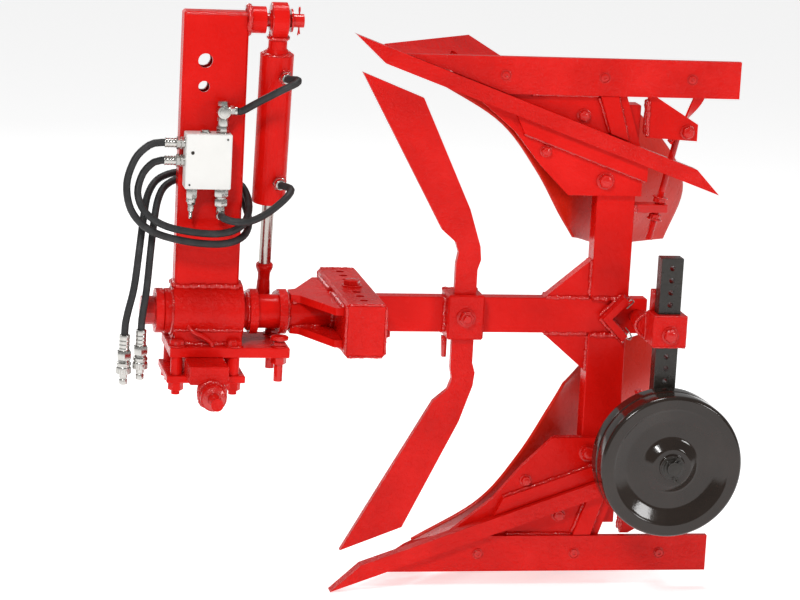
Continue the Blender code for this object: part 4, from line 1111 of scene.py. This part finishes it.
both_bodies(soil_bolts, RED_BOLT, 40)


def adjuster_thread(bm):
    """The adjuster's thread and the two nuts that clamp the rear arm."""
    top, bottom = Vector((0.8, 0.0, -0.14)), Vector((0.842, 0.0, -0.335))
    run = (bottom - top).normalized()
    add_thread(bm, top - run * 0.0005, run, 0.0066, 0.092, 0.002, 16)
    for distance, way in ((0.0365, 1), (0.0785, -1)):
        add_bolt(bm, top + run * distance, run * way, 0.0114, 0.0085, 0.002)


both_bodies(adjuster_thread, RED_BOLT, 30)

bm = bmesh.new()
near = -SHANK_DEEP - 0.002
for side in (-1, 1):
    add_welds(
        bm,
        (0.0034, (0.7135, near, side * 0.002), (0.751, near, side * 0.0405)),
        (0.0028, (0.733, near, side * 0.001), (0.763, near, side * 0.031)),
        (0.0022, (0.752, -0.021, side * 0.0412), (0.752, -0.041, side * 0.0412)),
    )
piece("stop_angle_welds", bm, "turnover", RED_WELD, 60)

bm = bmesh.new()
for side in (-1, 1):
    hook = [(x, y, side * z) for x, y, z in (
        (0.76, -0.03, 0.0175), (0.766, -0.033, 0.0245), (0.769, -0.04, 0.032),
        (0.765, -0.044, 0.0365), (0.76, -0.042, 0.0335), (0.761, -0.038, 0.0275),
    )]
    add_tube(bm, catmull(hook, 6), 0.0013, 8)
piece("stop_hooks", bm, "turnover", ZINC_DULL, 60)

# ---- depth wheel ----
WHEEL_X, WHEEL_Z, ARM_PIVOT_X = 0.811, -0.2285, 0.782
WHEEL_MIDDLE = Vector((WHEEL_X, -0.173, WHEEL_Z))
HALF_WHEEL = 0.039

bm = bmesh.new()
face = [
    (0.1245, HALF_WHEEL - 0.001), (0.1225, HALF_WHEEL), (0.106, HALF_WHEEL - 0.0006),
    (0.102, HALF_WHEEL - 0.003), (0.082, HALF_WHEEL - 0.0115), (0.078, HALF_WHEEL - 0.0125),
    (0.052, HALF_WHEEL - 0.0125), (0.048, HALF_WHEEL - 0.011), (0.035, HALF_WHEEL - 0.0016),
    (0.032, HALF_WHEEL - 0.0008), (0.0232, HALF_WHEEL - 0.0008), (0.0232, HALF_WHEEL + 0.0024),
    (0.0215, HALF_WHEEL + 0.0029), (0.0132, HALF_WHEEL + 0.0029),
]
rim = [
    (0.1265, HALF_WHEEL - 0.003), (0.128, HALF_WHEEL - 0.0065), (0.128, 0.004),
    (0.1268, 0.0018), (0.1262, 0.0), (0.1268, -0.0018), (0.128, -0.004),
    (0.128, -HALF_WHEEL + 0.0065), (0.1265, -HALF_WHEEL + 0.003),
]
outline = rounded(
    face[::-1] + rim + [(radius, -height) for radius, height in face] + [(0.0132, 0.0)], 0.0016, 3
)
add_loop(bm, outline[1:], WHEEL_MIDDLE, FAR, 112)
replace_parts(piece("gauge_wheel", bm, "depth_wheel", BLACK, 40), "depth_wheel")

bm = bmesh.new()
bearing = rounded([(0.0128, 0.0), (0.0205, 0.0), (0.0205, 0.0016), (0.015, 0.0022),
                   (0.0128, 0.0022)], 0.0006, 2)
for side in (-1, 1):
    start = WHEEL_MIDDLE + Vector((0, side * (HALF_WHEEL + 0.002), 0))
    add_turned(bm, bearing, start, (0, side, 0), 36)
piece("gauge_wheel_seals", bm, "depth_wheel", BLACK_LEG)

bm = bmesh.new()
cap = rounded([(0.0, 0.0), (0.0165, 0.0), (0.0165, 0.002), (0.0118, 0.0026), (0.0118, 0.0082),
               (0.01, 0.0096), (0.0, 0.0098)], 0.001, 3)
add_turned(bm, cap, (WHEEL_X, -0.2165, WHEEL_Z), NEAR, 32)
COTTER = Vector((WHEEL_X, -0.2227, WHEEL_Z))
loop = [
    COTTER + Vector(place) for place in (
        (-0.01, 0.0, 0.004), (0.004, 0.0, 0.009), (0.012, 0.0, 0.015),
        (0.0085, -0.001, 0.02), (0.0035, 0.0, 0.016), (-0.004, -0.002, 0.0075),
    )
]
add_tube(bm, catmull(loop, 8), 0.0015, 10)
for middle, tip in (
    ((0.0046, -0.001, -0.0145), (0.014, 0.0008, -0.029)),
    ((0.0024, -0.001, -0.012), (0.003, 0.0008, -0.024)),
):
    leg = [COTTER + Vector(place) for place in ((-0.001, -0.0005, 0.001), middle, tip)]
    add_tube(bm, catmull(leg, 8), 0.0014, 10)
piece("axle_cap_and_cotter", bm, "wheel_arm", BLACK_LEG, 50)

bm = bmesh.new()
add_bolt(bm, (WHEEL_X, -0.1412, -0.006), NEAR, 0.0128, 0.009, 0.0022, 0.0, 0.3)
piece("leg_clamp_bolt", bm, "wheel_arm", RED_BOLT, 30)

bm = bmesh.new()
low, high = WHEEL_X - 0.03, WHEEL_X + 0.03
corner = WHEEL_X - 0.0315
add_welds(
    bm,
    (0.0014, (low, -0.1405, -0.0282), (high, -0.1405, -0.0282)),
    (0.0014, (low, -0.1405, 0.0282), (high, -0.1405, 0.0282)),
    (0.0021, (corner, -0.092, -0.026), (corner, -0.092, 0.026)),
)
add_weld(bm, circle((ARM_PIVOT_X, -0.0905, 0), (0, 1, 0), 0.0198, 32), 0.003, True)
add_plate(bm, [(0.784, 0.027), (0.803, 0.027), (0.803, 0.068), (0.784, 0.068)],
          -0.0985, -0.0905, 0.0012)
piece("wheel_arm_welds", bm, "wheel_arm", RED_WELD, 60)

bm = bmesh.new()
add_weld(bm, circle((WHEEL_X, -0.1008, WHEEL_Z), (0, 1, 0), 0.0134, 28), 0.0022, True)
piece("axle_welds", bm, "wheel_arm", BLACK_LEG, 60)

# ---- floor ----
bm = bmesh.new()
bmesh.ops.create_grid(bm, x_segments=1, y_segments=1, size=30.0)
mesh = bpy.data.meshes.new("floor")
bm.to_mesh(mesh)
bm.free()
floor = bpy.data.objects.new("floor", mesh)
floor.location = (0.0, 0.0, CAD_BOX[0].z - 0.001)
bpy.context.scene.collection.objects.link(floor)
pale = bpy.data.materials.new("pale_floor")
pale.use_nodes = True
for socket, value in (
    ("Base Color", (0.93, 0.93, 0.93, 1.0)), ("Roughness", 0.75),
    ("Emission Color", (1.0, 1.0, 1.0, 1.0)), ("Emission Strength", 0.58),
):
    pale.node_tree.nodes["Principled BSDF"].inputs[socket].default_value = value
mesh.materials.append(pale)
